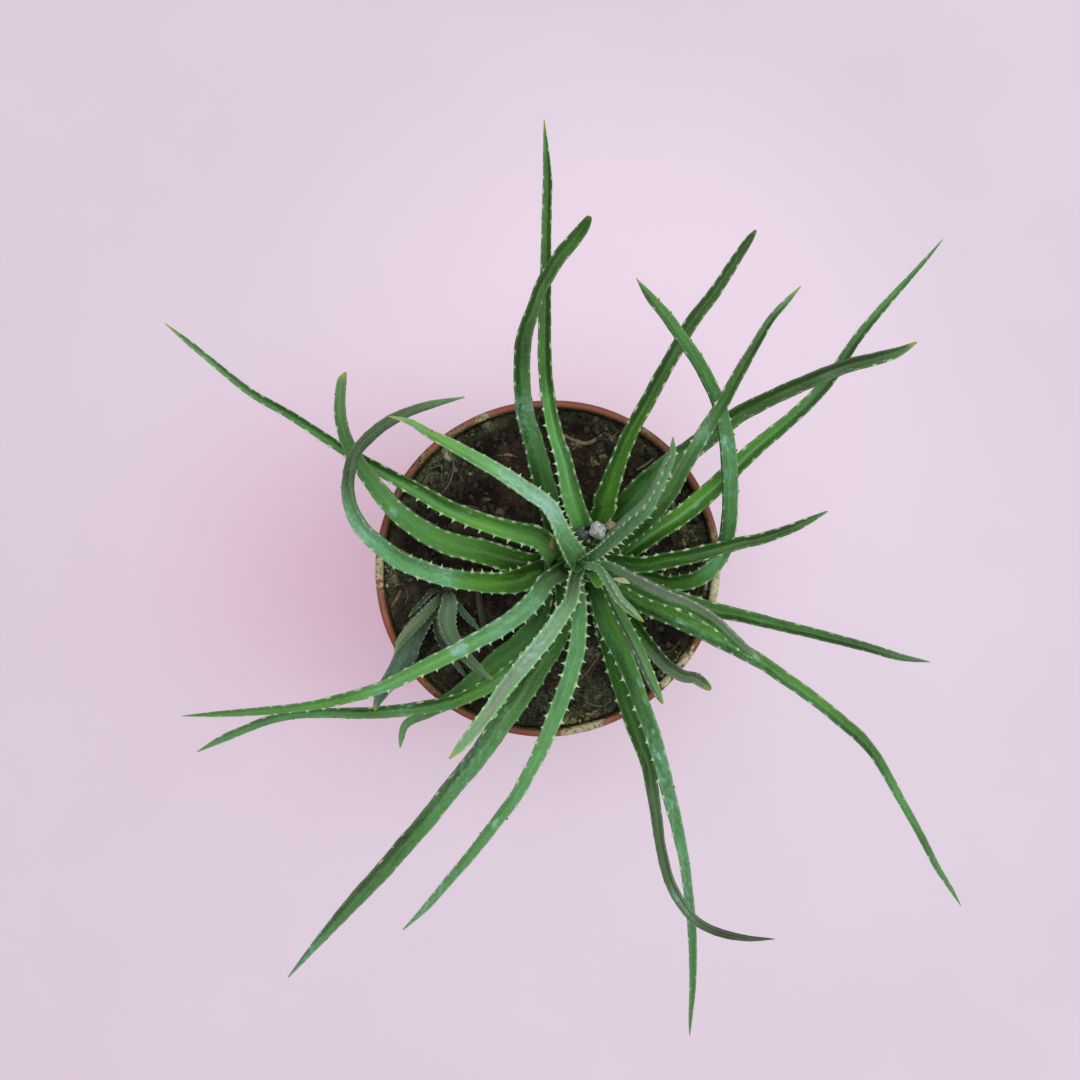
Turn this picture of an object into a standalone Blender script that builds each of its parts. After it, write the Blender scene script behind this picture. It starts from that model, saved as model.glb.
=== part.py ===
# Potted aloe: a thin round nursery pot filled with soil, a short leaning stem
# carrying a rosette of long toothed leaves, and a small offset plant (pup)
# beside it.  Units are metres, +Z is up, the pot stands on Z = 0 and its axis
# is the Z axis.  +X is to the right and +Y is away when seen from above.
import bpy
import bmesh
import math
from mathutils import Vector, Matrix

MM = 0.001

# ---------------------------------------------------------------- sizes (mm)
POT_HEIGHT = 105.0          # floor to lip
POT_TOP_RADIUS = 60.2       # outside of the lip, long way across
POT_SQUEEZE = 0.969         # the thin pot is pressed slightly oval
POT_SQUEEZE_TURN = math.radians(17.0)   # the long way across, from +X
POT_FOOT_RADIUS = 42.0
POT_WALL = 1.3
POT_LIP = 2.5               # width of the rolled lip
POT_COLLAR = 14.0           # height of the thicker band under the lip
POT_FLOOR = 2.0
DRAIN_HOLE_RADIUS = 4.5
DRAIN_HOLE_RING = 27.0
DRAIN_HOLES = 6
GAP = 0.3                   # clearance between pieces that touch
SOIL_TOP = 96.5             # general level of the soil
SOIL_RELIEF = 1.1
STEM_FOOT = (1.0, -1.0)     # where the stem leaves the soil
STEM_HEAD = (11.0, 1.6)     # where it ends, under the youngest leaves
STEM_TOP = 139.0
STEM_FOOT_RADIUS = 5.6
STEM_HEAD_RADIUS = 2.0
PUP_CENTRE = (-34.4, -8.3)
PUP_TOP = 104.5
PUP_RADIUS = 3.2
LEAF_THICK = 0.30           # thickness of a leaf as a share of its width
LEAF_STEP = 9.5             # distance between leaf sections

# ------------------------------------------------- plan of the leaves
# Each leaf is laid out on a plan drawn as if from one eye point high above
# the pot.  A plan unit is PLAN_UNIT mm at the height of the lip; the plan's
# centre is straight under the eye.
EYE = (-2.57, 9.72, 705.0)
PLAN_UNIT = 0.347
PLAN_CENTRE = (540.0, 540.0)
PLAN_REACH = (EYE[2] - POT_HEIGHT) / PLAN_UNIT


def from_plan(u, v, z):
    """Place of the plan point (u right, v towards the viewer) at height z."""
    k = (EYE[2] - z) / PLAN_REACH
    return Vector((EYE[0] + (u - PLAN_CENTRE[0]) * k,
                   EYE[1] - (v - PLAN_CENTRE[1]) * k, z))


# name: (heights at the root, one third, two thirds and the tip,
#        roll of the face at the root and at the tip in degrees,
#        [(u, v, width) ...] from the root outwards)
LEAVES = {
    "leaf_01": ((119, 131, 123, 113), (0, 0), [
        (540, 539, 25), (520, 533, 23), (500, 527.5, 20.5), (480, 521, 19.5),
        (450, 509, 18), (420, 492, 16), (400, 481, 14), (380, 470, 12.5),
        (346, 451, 11), (330, 441, 10), (290, 415, 9), (250, 392, 8),
        (210, 360, 6.5), (188, 342, 5.5), (164.5, 323, 0.8)]),
    "leaf_02": ((104, 114, 141, 152), (0, 0), [
        (512, 560, 26), (500, 557, 28), (480, 551, 27), (450, 544, 25),
        (425, 532, 23), (400, 514, 21), (380, 492, 18.5), (363, 469, 16),
        (348, 444, 14), (341, 420, 12.5), (340, 400, 11.5), (342, 381, 9.5),
        (346, 372, 2.5)]),
    "leaf_03": ((109, 126, 159, 170), (0, -75), [
        (535, 573, 25), (520, 580, 27), (500, 583, 24), (470, 581, 21),
        (450, 578, 20), (430, 572.5, 20), (400, 560, 20), (378, 544, 18.5),
        (362, 528, 17.5), (352, 509, 16), (348.5, 490, 14.5), (350, 471, 13.5),
        (355, 454, 12.5), (368.5, 438, 12.5), (387, 423, 12), (409, 412, 10),
        (434, 404, 7.5), (465, 397, 1.2)]),
    "leaf_04": ((138, 163, 180, 190), (0, 0), [
        (573, 551, 18), (565, 538, 17), (558, 522, 16.5), (548, 505, 17),
        (527, 490, 17), (500, 472, 15.5), (470, 455, 14), (450, 444, 12.5),
        (430, 434, 9.5), (410, 422, 6.5), (388, 416, 1.2)]),
    "leaf_05": ((110, 140, 164, 162), (0, 0), [
        (549, 500, 22), (543, 480, 23), (538, 460, 22.5), (533, 440, 21),
        (526.5, 420, 19.5), (523.5, 400, 18), (522, 380, 17), (522.5, 350, 17),
        (526, 330, 15.5), (533, 310, 13), (540, 290, 13), (548, 275, 13),
        (560, 256, 12.5), (572, 242, 12), (583, 228, 11), (590, 216, 5.5)]),
    "leaf_06": ((126, 146, 148, 134), (0, 0), [
        (582, 530, 22), (576, 510, 22.5), (570, 490, 21.5), (563.5, 460, 18),
        (557, 440, 16.5), (552, 420, 15.5), (548.5, 400, 15), (546, 380, 14.5),
        (544.5, 350, 14), (545, 300, 12.5), (546, 250, 10.5), (547, 200, 10),
        (547.5, 180, 9.5), (546, 150, 6), (544, 119, 0.8)]),
    "leaf_07": ((115, 138, 140, 128), (0, 0), [
        (602, 514, 24), (605, 500, 25), (612, 480, 21), (619, 460, 18.5),
        (627, 440, 17), (637, 420, 15.5), (648.5, 400, 15.5), (659, 380, 15),
        (676, 350, 14.5), (692, 322, 14), (715, 292, 12.5), (737, 258, 10.5),
        (749, 240, 8), (756, 230, 3)]),
    "leaf_08": ((107, 117, 153, 171), (0, 20), [
        (645, 577, 14), (668, 583, 16), (690, 581, 18), (706, 573, 18),
        (718, 560, 17), (725, 545, 17), (729, 520, 17), (730, 500, 17),
        (730, 480, 17.5), (728, 450, 18), (724, 425, 16), (718, 402, 15.5),
        (708, 380, 15), (697, 360, 15), (683, 340, 14), (667, 317, 13),
        (650, 297, 10), (636, 278, 0.8)]),
    "leaf_09": ((121, 152, 172, 172), (0, 0), [
        (612, 547, 17), (635, 530, 19), (651, 516, 19.5), (661, 503, 19),
        (672, 489, 17), (682, 470, 16), (692, 453, 15.5), (704, 433, 15),
        (722, 404, 13.5), (738, 375, 12), (757, 342, 9.5), (771, 319, 8),
        (787, 301, 6), (801, 286, 1.2)]),
    "leaf_10": ((116, 128, 124, 112), (0, 0), [
        (612, 562, 18), (640, 543, 21), (660, 529, 21), (680, 516, 21),
        (700, 500, 20.5), (719, 483, 19), (753.5, 450, 16.5), (789.5, 420, 14),
        (815, 396, 13), (835, 372, 12), (856, 340, 10), (880.5, 310, 8.5),
        (907.5, 280, 5.8), (928, 257, 3.8), (943, 239, 0.8)]),
    "leaf_11": ((109, 128, 142, 140), (0, 0), [
        (622, 512, 28), (634, 499, 31), (650, 483, 29), (668, 467, 25.5),
        (692, 449, 22), (715, 432, 20), (738, 415, 18), (761, 403, 16.5),
        (784, 392, 16), (807, 382, 15.5), (830, 372.5, 15), (852, 364.5, 14),
        (875, 359, 13.5), (898, 352, 10), (917, 342, 2)]),
    "leaf_12": ((137, 160, 178, 190), (45, 45), [
        (602, 549, 15), (614, 537, 19), (632, 519, 20), (645, 507, 18.5),
        (655, 491, 15), (661, 478, 14), (667, 464, 12.5), (672, 452, 8.5),
        (673, 437, 1.5)]),
    "leaf_13": ((127, 140, 142, 136), (0, 0), [
        (612, 562, 18), (640, 565, 18), (665, 561, 18), (690, 556, 17),
        (710, 551, 16), (740, 543, 13), (760, 539, 12), (790, 529, 10),
        (810, 520, 7), (828, 511, 1.5)]),
    "leaf_14": ((111.5, 120, 121, 116), (0, 0), [
        (640, 586, 16), (690, 602, 16), (716, 610, 15), (747, 617, 13.5),
        (779, 625, 12), (800, 630, 11.5), (816, 634, 11), (866, 647, 9.5),
        (900, 657, 7.5), (930, 662, 1.2)]),
    "leaf_15": ((120, 131, 128, 106), (0, 0), [
        (605, 580, 17), (638, 601, 20), (669, 615, 20), (700, 629.5, 18.5),
        (732, 646, 16.5), (763, 663, 14.5), (783, 677, 13.5), (802, 690, 13),
        (824.5, 707, 12.5), (846, 725, 12.5), (860, 737, 12),
        (875.5, 755.5, 10.5), (889, 778, 9.5), (901, 800, 8.5),
        (913.5, 822, 8), (925.5, 844.5, 7.5), (937, 867, 6.5),
        (951, 889, 4.5), (961, 906, 0.8)]),
    "leaf_16": ((134, 146, 152, 156), (30, 45), [
        (604, 566, 14), (625, 577, 18), (650, 590, 19), (672, 599, 16),
        (690, 606, 14.5), (713, 620, 13), (733, 638, 11.5), (748, 651, 9),
        (761, 660, 2.5)]),
    "leaf_17": ((105.5, 113, 121, 126), (0, 0), [
        (612, 600, 13), (630, 620, 15), (645, 641, 15.5), (657, 656, 15),
        (669, 668, 14), (683, 676, 12.5), (695, 678, 12), (704, 684, 10),
        (711, 690, 5)]),
    "leaf_18": ((129, 143, 152, 156), (-25, -35), [
        (602, 580, 11), (612, 600, 12), (622, 620, 13.5), (631, 637, 13.5),
        (640.5, 656, 13), (649, 676, 12), (656.5, 692, 9), (663, 704, 2.5)]),
    "leaf_19": ((141, 157, 168, 174), (25, 40), [
        (598, 568, 11), (611, 585, 12), (620, 599, 11), (632, 611, 9),
        (644, 622, 2)]),
    "leaf_20": ((100.5, 117, 135, 140), (0, 45), [
        (590, 588, 14), (596, 603, 16), (604, 633, 17), (610.5, 655, 17),
        (617, 677, 17), (629.5, 715, 16), (641, 745, 15.5), (647.5, 763, 14.5),
        (653, 793, 13), (657, 820, 12), (661, 847, 11), (669, 879, 11),
        (682, 904, 10.5), (697, 921, 9.5), (719, 932, 9), (747, 938, 6.5),
        (775, 939, 1)]),
    "leaf_21": ((113, 129, 125, 108), (0, 0), [
        (594, 585, 20), (602, 606, 24), (609.5, 627, 25), (618.5, 645, 23.5),
        (627.5, 667, 21), (634.5, 684, 19), (642.3, 707, 17.5), (650, 727, 17),
        (660, 760, 15.5), (668.5, 793, 14.5), (675.5, 820, 13),
        (681, 845, 11.5), (685, 866, 10.5), (690, 907, 9.5), (692.2, 934, 9),
        (693, 962, 8), (692.5, 990, 6.5), (690.5, 1018, 4),
        (689.7, 1036, 0.8)]),
    "leaf_22": ((129, 143, 138, 118), (0, 0), [
        (580, 600, 14), (579, 625, 17), (577, 648, 18), (573, 665, 18),
        (569, 680, 18), (563.7, 694, 18), (553, 721, 17), (545, 740, 15.5),
        (539, 754, 14.5), (531, 769, 13.5), (516, 796, 13), (495.5, 823, 12),
        (474, 851, 11), (450, 879, 9.4), (427, 906, 7.4), (403, 930, 1.2)]),
    "leaf_23": ((119, 129, 126, 112), (0, 0), [
        (560, 632, 20), (543, 662, 22), (523, 693, 23), (501, 724, 22),
        (475, 760, 21), (451, 789, 19.5), (426, 821, 18.8), (403.5, 846.5, 18.4),
        (383, 870.5, 17.6), (359.5, 895.5, 16), (337, 920.5, 12.5),
        (315.5, 945, 8.3), (288, 977.5, 1.5)]),
    "leaf_24": ((139, 160, 174, 182), (0, 0), [
        (575, 578, 15), (571, 600, 16), (562, 614, 17), (550, 632, 18),
        (538, 647, 18), (525, 663, 18), (513, 678, 17), (502, 692, 16),
        (490, 710, 15), (476, 728, 13), (462, 745, 10), (449, 759, 2)]),
    "leaf_25": ((127, 143, 144, 126), (0, 0), [
        (547, 581, 20), (535, 598.5, 20.5), (518, 615, 20), (500, 627.5, 19.5),
        (483, 637, 18.5), (453, 653, 17.5), (418, 670, 15.5),
        (380, 688, 13), (342, 699, 11.5), (307, 706.5, 9.5), (263, 711, 8.5),
        (219, 714, 6), (182, 716, 0.8)]),
    "leaf_26": ((116, 122, 118, 108), (0, 0), [
        (552, 622, 14), (540, 642, 15.5), (523, 660, 16), (501, 678, 16),
        (478, 691, 15.5), (453, 701.5, 14.5), (424, 707.5, 14),
        (395, 711, 13), (365, 713, 12), (324, 713, 10), (292, 715, 9),
        (266, 721, 9), (249, 727.5, 8.5), (222, 739, 7.5), (197, 752, 1)]),
    "leaf_27": ((104.5, 109, 109, 103), (0, 0), [
        (545, 612, 21), (524, 642, 26), (498, 662, 25), (478, 680, 23),
        (455, 697, 18), (430, 711, 13), (413, 719, 10), (404.5, 726.5, 8),
        (401.5, 737, 6), (400, 748, 1.5)]),
    "leaf_heart": ((135, 143, 148, 151), (0, 0), [
        (592, 570, 13), (597, 579, 14), (599, 588, 8)]),
}

PUP_LEAVES = {
    "pup_leaf_1": ((101, 112, 124, 131), (0, 0), [
        (434, 606, 14), (424, 619, 20), (413, 635, 24), (406, 655, 23),
        (396, 672, 19), (388, 684, 16), (382, 693, 13), (377, 703, 8),
        (375, 711, 2)]),
    "pup_leaf_2": ((103, 114, 121, 124), (0, 0), [
        (434, 604, 8), (425, 614, 9.5), (411, 629, 10), (401, 641, 8),
        (395, 653, 2)]),
    "pup_leaf_3": ((103, 113, 122, 129), (25, 40), [
        (449, 604, 16), (446, 618, 18), (448, 631, 17), (456, 645, 14),
        (466, 657, 11), (480, 671, 8), (493, 680, 1.5)]),
    "pup_leaf_4": ((101, 105, 109, 111), (0, 0), [
        (457, 603, 6), (462, 611, 7), (470, 620, 7), (480, 631, 2)]),
    "pup_leaf_5": ((100.5, 105, 108, 110), (0, 0), [
        (435, 588, 6), (425.5, 598.5, 5.5), (415, 609, 4.5), (408.5, 617, 1.5)]),
    "pup_leaf_6": ((99, 101, 102.5, 104), (0, 0), [
        (437, 618, 7), (438, 634, 8), (447, 651, 8), (459, 668, 5.5),
        (469, 681, 1.5)]),
}
# one withered leaf, lying out over the soil from beneath the rosette
DRY_LEAF = ((99.4, 100.2, 101, 102.5), (0, 0), [
    (477, 577, 5), (479, 596, 7), (483, 622, 7), (490, 645, 6.5),
    (498, 665, 4), (502, 677, 1.2)])

# colours: (base colour, roughness)
COLOURS = {
    "pot": ((0.26, 0.095, 0.055), 0.62),
    "soil": ((0.022, 0.016, 0.011), 0.95),
    "stem": ((0.14, 0.17, 0.06), 0.6),
    "leaf": ((0.095, 0.26, 0.085), 0.42),
    "young_leaf": ((0.16, 0.31, 0.17), 0.45),
    "pup": ((0.10, 0.20, 0.10), 0.5),
    "dry": ((0.19, 0.13, 0.08), 0.8),
    "stone": ((0.55, 0.57, 0.57), 0.85),
    "pebble": ((0.09, 0.09, 0.09), 0.8),
    "sand_pebble": ((0.42, 0.33, 0.24), 0.85),
    "bark": ((0.52, 0.43, 0.30), 0.8),
    "bract": ((0.30, 0.17, 0.06), 0.7),
    "twig": ((0.20, 0.16, 0.10), 0.85),
}


# ---------------------------------------------------------------- helpers
def clear_scene():
    for obj in list(bpy.data.objects):
        bpy.data.objects.remove(obj, do_unlink=True)


def collection(name):
    col = bpy.data.collections.get(name) or bpy.data.collections.new(name)
    if name not in bpy.context.scene.collection.children:
        bpy.context.scene.collection.children.link(col)
    return col


def material(name, kind):
    colour, rough = COLOURS[kind]
    mat = bpy.data.materials.new("m_" + name)
    mat.use_nodes = True
    bsdf = mat.node_tree.nodes["Principled BSDF"]
    bsdf.inputs["Base Color"].default_value = (*colour, 1.0)
    bsdf.inputs["Roughness"].default_value = rough
    bsdf.inputs["Metallic"].default_value = 0.0
    mat.diffuse_color = (*colour, 1.0)
    return mat


def new_object(name, mesh, kind, col, smooth=True):
    obj = bpy.data.objects.new(name, mesh)
    col.objects.link(obj)
    obj.data.materials.clear()
    obj.data.materials.append(material(name, kind))
    if smooth:
        for poly in obj.data.polygons:
            poly.use_smooth = True
    return obj


def baked(obj):
    """Mesh of an object with its modifiers or curve settings applied."""
    deps = bpy.context.evaluated_depsgraph_get()
    deps.update()
    return bpy.data.meshes.new_from_object(obj.evaluated_get(deps))


def turned(name, profile, steps):
    """Mesh turned about Z from a profile of (radius, height) in mm."""
    mesh = bpy.data.meshes.new(name + "_profile")
    verts = [(r * MM, 0.0, z * MM) for r, z in profile]
    mesh.from_pydata(verts, [(i, i + 1) for i in range(len(verts) - 1)], [])
    obj = bpy.data.objects.new(name + "_profile", mesh)
    bpy.context.scene.collection.objects.link(obj)
    screw = obj.modifiers.new("turn", 'SCREW')
    screw.steps = steps
    screw.render_steps = steps
    screw.use_merge_vertices = True
    screw.merge_threshold = 0.00005
    out = baked(obj)
    bpy.data.objects.remove(obj, do_unlink=True)
    return out


def lerp(a, b, t):
    return a + (b - a) * t


def stem_axis(z):
    t = max(0.0, min(1.0, (z - SOIL_TOP) / (STEM_TOP - SOIL_TOP)))
    return Vector((lerp(STEM_FOOT[0], STEM_HEAD[0], t),
                   lerp(STEM_FOOT[1], STEM_HEAD[1], t), z))


def stem_radius(z):
    t = max(0.0, min(1.0, (z - SOIL_TOP) / (STEM_TOP - SOIL_TOP)))
    return lerp(STEM_FOOT_RADIUS, STEM_HEAD_RADIUS, t)


def through(p, t):
    """Smooth value at t (0..1) through four evenly spaced values."""
    a, b, c, d = p
    s = t * 3.0
    return (a * (s - 1) * (s - 2) * (s - 3) / -6.0
            + b * s * (s - 2) * (s - 3) / 2.0
            + c * s * (s - 1) * (s - 3) / -2.0
            + d * s * (s - 1) * (s - 2) / 6.0)


def spline(points, per_span):
    """Catmull-Rom samples through a list of tuples."""
    pts = [Vector(p) for p in points]
    ends = [pts[0] * 2 - pts[1]] + pts + [pts[-1] * 2 - pts[-2]]
    out = []
    for i in range(1, len(ends) - 2):
        p0, p1, p2, p3 = ends[i - 1:i + 3]
        for k in range(per_span):
            t = k / per_span
            out.append(0.5 * (2 * p1 + (p2 - p0) * t
                              + (2 * p0 - 5 * p1 + 4 * p2 - p3) * t * t
                              + (3 * p1 - p0 - 3 * p2 + p3) * t * t * t))
    out.append(pts[-1])
    return out


def leaf_path(spec, root, root_width):
    """Stations (place, side, face, width, t) along a leaf, in mm."""
    heights, rolls, route = spec
    k = (EYE[2] - root.z) / PLAN_REACH
    u0 = PLAN_CENTRE[0] + (root.x - EYE[0]) / k
    v0 = PLAN_CENTRE[1] - (root.y - EYE[1]) / k
    plan = spline([(u0, v0, root_width * route[0][2])] + list(route), 8)
    run = [0.0]
    for a, b in zip(plan, plan[1:]):
        run.append(run[-1] + (b.xy - a.xy).length)
    total = run[-1]
    places = [from_plan(p.x, p.y, through(heights, d / total))
              for p, d in zip(plan, run)]
    length = sum((b - a).length for a, b in zip(places, places[1:]))
    count = max(6, round(length / LEAF_STEP))
    arc = [0.0]
    for a, b in zip(places, places[1:]):
        arc.append(arc[-1] + (b - a).length)
    stations = []
    j = 0
    for i in range(count + 1):
        s = arc[-1] * (i / count) ** 0.96
        while j < len(arc) - 2 and arc[j + 1] < s:
            j += 1
        f = (s - arc[j]) / max(arc[j + 1] - arc[j], 1e-9)
        f = max(0.0, min(1.0, f))
        place = places[j].lerp(places[j + 1], f)
        width = lerp(plan[j].z, plan[j + 1].z, f)
        lo, hi = max(j - 2, 0), min(j + 3, len(places) - 1)
        ahead = (places[hi] - places[lo]).normalized()
        side = Vector((ahead.y, -ahead.x, 0.0)).normalized()
        face = side.cross(ahead).normalized()
        t = s / arc[-1]
        turn = Matrix.Rotation(math.radians(lerp(rolls[0], rolls[1], t)), 3,
                               ahead)
        width_mm = width * (EYE[2] - place.z) / PLAN_REACH
        stations.append((place, turn @ side, turn @ face, width_mm, t))
    return stations


# outline of a leaf across its width: a shallow channel on the upper face and
# a rounded back, in half widths across and whole thicknesses up
SECTION = [(-1.0, 0.34), (-0.52, 0.16), (0.0, 0.02), (0.52, 0.16), (1.0, 0.34),
           (0.74, -0.28), (0.0, -0.66), (-0.74, -0.28)]


def leaf_mesh(name, spec, root, root_width):
    bm = bmesh.new()
    rings = []
    for place, side, face, width, t in leaf_path(spec, root, root_width):
        half = 0.5 * width
        thick = width * lerp(LEAF_THICK, LEAF_THICK * 0.85, t)
        rings.append([bm.verts.new((place + side * (x * half)
                                    + face * (y * thick)) * MM)
                      for x, y in SECTION])
    n = len(SECTION)
    for a, b in zip(rings, rings[1:]):
        for i in range(n):
            bm.faces.new((a[i], a[(i + 1) % n], b[(i + 1) % n], b[i]))
    bm.faces.new(rings[0][::-1])
    bm.faces.new(rings[-1])
    bmesh.ops.recalc_face_normals(bm, faces=bm.faces)
    mesh = bpy.data.meshes.new(name)
    bm.to_mesh(mesh)
    bm.free()
    return mesh


def root_on_stem(spec):
    """Where a leaf meets the stem, facing its first plan point."""
    z = spec[0][0]
    u, v, w = spec[2][0]
    axis = stem_axis(z)
    out = from_plan(u, v, z) - axis
    out.z = 0.0
    out.normalize()
    return axis + out * (stem_radius(z) + GAP + 0.9)


def root_on_pup(spec):
    z = spec[0][0]
    u, v, w = spec[2][0]
    axis = Vector((PUP_CENTRE[0], PUP_CENTRE[1], z))
    out = from_plan(u, v, z) - axis
    out.z = 0.0
    out.normalize()
    return axis + out * (PUP_RADIUS + GAP + 0.7)


def pot_oval(z):
    """Squeeze of the pot at height z: full at the lip, none at the foot."""
    return lerp(1.0, POT_SQUEEZE, z / POT_HEIGHT)


def squeeze(mesh):
    c, s = math.cos(POT_SQUEEZE_TURN), math.sin(POT_SQUEEZE_TURN)
    for v in mesh.vertices:
        x, y = v.co.x, v.co.y
        a, b = x * c + y * s, -x * s + y * c
        b *= pot_oval(v.co.z / MM)
        v.co.x, v.co.y = a * c - b * s, a * s + b * c


def wall_radius(z):
    """Outside radius of the plain wall at height z."""
    return lerp(POT_FOOT_RADIUS, POT_TOP_RADIUS - 1.6, z / POT_HEIGHT)


def soil_height(x, y):
    """Height of the soil surface at x, y (mm)."""
    bump = (math.sin(x * 0.21 + 0.8) * math.cos(y * 0.17 - 0.5)
            + 0.6 * math.sin(x * 0.47 - y * 0.39 + 2.1)
            + 0.4 * math.cos(x * 0.83 + y * 0.71))
    calm = 1.0
    for cx, cy, r in ((STEM_FOOT[0], STEM_FOOT[1], 9.0),
                      (PUP_CENTRE[0], PUP_CENTRE[1], 6.0)):
        d = math.hypot(x - cx, y - cy)
        calm *= max(0.0, min(1.0, (d - r) / 8.0))
    return SOIL_TOP + SOIL_RELIEF * 0.5 * bump * calm


# ---------------------------------------------------------------- pieces
def make_pot(col, cutters):
    top = POT_HEIGHT
    inner = POT_TOP_RADIUS - POT_LIP
    profile = [
        (inner, top - 0.5), (inner + 0.5, top), (POT_TOP_RADIUS - 0.6, top),
        (POT_TOP_RADIUS, top - 0.8),
        (wall_radius(top - POT_COLLAR) + 1.2, top - POT_COLLAR + 0.6),
        (wall_radius(top - POT_COLLAR) + 0.9, top - POT_COLLAR),
        (wall_radius(top - POT_COLLAR) - 0.1, top - POT_COLLAR - 0.4),
        (POT_FOOT_RADIUS + 0.3, 1.2), (POT_FOOT_RADIUS - 0.9, 0.0),
        (0.0, 0.0)]
    inside = [(0.0, POT_FLOOR), (POT_FOOT_RADIUS - POT_WALL - 1.0, POT_FLOOR),
              (POT_FOOT_RADIUS - POT_WALL + 0.4, POT_FLOOR + 1.5),
              (wall_radius(top - POT_COLLAR) - POT_WALL, top - POT_COLLAR - 1),
              (inner, top - 6.0), (inner, top - 0.5)]
    mesh = turned("pot", profile + inside, 48)
    bm = bmesh.new()
    bm.from_mesh(mesh)
    bmesh.ops.remove_doubles(bm, verts=bm.verts, dist=0.00001)
    bmesh.ops.recalc_face_normals(bm, faces=bm.faces)
    bm.to_mesh(mesh)
    bm.free()
    squeeze(mesh)
    pot = new_object("pot", mesh, "pot", col)
    for i in range(DRAIN_HOLES):
        a = 2 * math.pi * (i + 0.5) / DRAIN_HOLES
        bpy.ops.mesh.primitive_cylinder_add(
            vertices=16, radius=DRAIN_HOLE_RADIUS * MM, depth=8 * MM,
            location=(DRAIN_HOLE_RING * math.cos(a) * MM,
                      DRAIN_HOLE_RING * math.sin(a) * MM, 1 * MM))
        drill = bpy.context.object
        drill.name = "drain_drill_%d" % (i + 1)
        for c in list(drill.users_collection):
            c.objects.unlink(drill)
        cutters.objects.link(drill)
        drill.hide_render = True
        drill.display_type = 'WIRE'
        cut = pot.modifiers.new("drain_%d" % (i + 1), 'BOOLEAN')
        cut.operation = 'DIFFERENCE'
        cut.solver = 'EXACT'
        cut.object = drill
    return pot


def make_soil(col):
    top = SOIL_TOP
    low = POT_FLOOR + GAP
    edge = POT_HEIGHT - 6.0
    lim = wall_radius(POT_HEIGHT - POT_COLLAR) - POT_WALL

    def inside_radius(z):
        z1 = POT_HEIGHT - POT_COLLAR - 1
        if z <= POT_FLOOR + 1.5:
            return POT_FOOT_RADIUS - POT_WALL - 1.0
        if z <= z1:
            return lerp(POT_FOOT_RADIUS - POT_WALL + 0.4, lim,
                        (z - POT_FLOOR - 1.5) / (z1 - POT_FLOOR - 1.5))
        return lerp(lim, POT_TOP_RADIUS - POT_LIP, (z - z1) / (edge - z1))

    z1 = POT_HEIGHT - POT_COLLAR - 1
    outer = inside_radius(top) - GAP - 0.35
    profile = [(0.0, top)]
    profile += [(outer * f, top) for f in (0.14, 0.3, 0.46, 0.62, 0.76, 0.88)]
    profile += [(outer, top - 0.4),
                (inside_radius(z1) - GAP - 0.25, z1),
                (inside_radius(POT_FLOOR + 1.6) - GAP - 0.25,
                 POT_FLOOR + 2.2),
                (POT_FOOT_RADIUS - POT_WALL - 2.0, low), (0.0, low)]
    mesh = turned("soil", profile, 36)
    bm = bmesh.new()
    bm.from_mesh(mesh)
    bmesh.ops.remove_doubles(bm, verts=bm.verts, dist=0.00001)
    bmesh.ops.recalc_face_normals(bm, faces=bm.faces)
    for v in bm.verts:
        x, y, z = v.co.x / MM, v.co.y / MM, v.co.z / MM
        if z > top - 0.2:
            v.co.z = soil_height(x, y) * MM
    bm.to_mesh(mesh)
    bm.free()
    squeeze(mesh)
    return new_object("soil", mesh, "soil", col)


def make_tube(name, points, radii, kind, col, sides):
    """Tube through points (mm) with its own radius at each point."""
    curve = bpy.data.curves.new(name + "_line", 'CURVE')
    curve.dimensions = '3D'
    curve.bevel_depth = 1.0 * MM
    curve.bevel_resolution = sides
    curve.use_fill_caps = True
    curve.resolution_u = 3
    curve.render_resolution_u = 0
    line = curve.splines.new('POLY')
    line.points.add(len(points) - 1)
    for point, place, radius in zip(line.points, points, radii):
        point.co = (*[c * MM for c in place], 1.0)
        point.radius = radius
    line.use_smooth = True
    obj = bpy.data.objects.new(name + "_line", curve)
    bpy.context.scene.collection.objects.link(obj)
    mesh = baked(obj)
    bpy.data.objects.remove(obj, do_unlink=True)
    bm = bmesh.new()
    bm.from_mesh(mesh)
    bmesh.ops.remove_doubles(bm, verts=bm.verts, dist=0.00001)
    bmesh.ops.recalc_face_normals(bm, faces=bm.faces)
    bm.to_mesh(mesh)
    bm.free()
    return new_object(name, mesh, kind, col)


def make_stem(col):
    heights = [SOIL_TOP + 0.6, SOIL_TOP + 2.2]
    heights += [lerp(SOIL_TOP, STEM_TOP, f) for f in (0.2, 0.45, 0.7, 0.9, 1)]
    points = [stem_axis(z) for z in heights]
    points[0].xy = points[1].xy
    radii = [stem_radius(z) for z in heights]
    radii[0] *= 1.08
    radii[-1] *= 0.6
    make_tube("stem", points, radii, "stem", col, 2)


def make_pup_stem(col):
    heights = [SOIL_TOP + 0.6, 100.0, 102.5, PUP_TOP]
    points = [(PUP_CENTRE[0], PUP_CENTRE[1], z) for z in heights]
    make_tube("pup_stem", points,
              [PUP_RADIUS * f for f in (1.05, 1.0, 0.8, 0.35)],
              "pup", col, 2)


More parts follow.
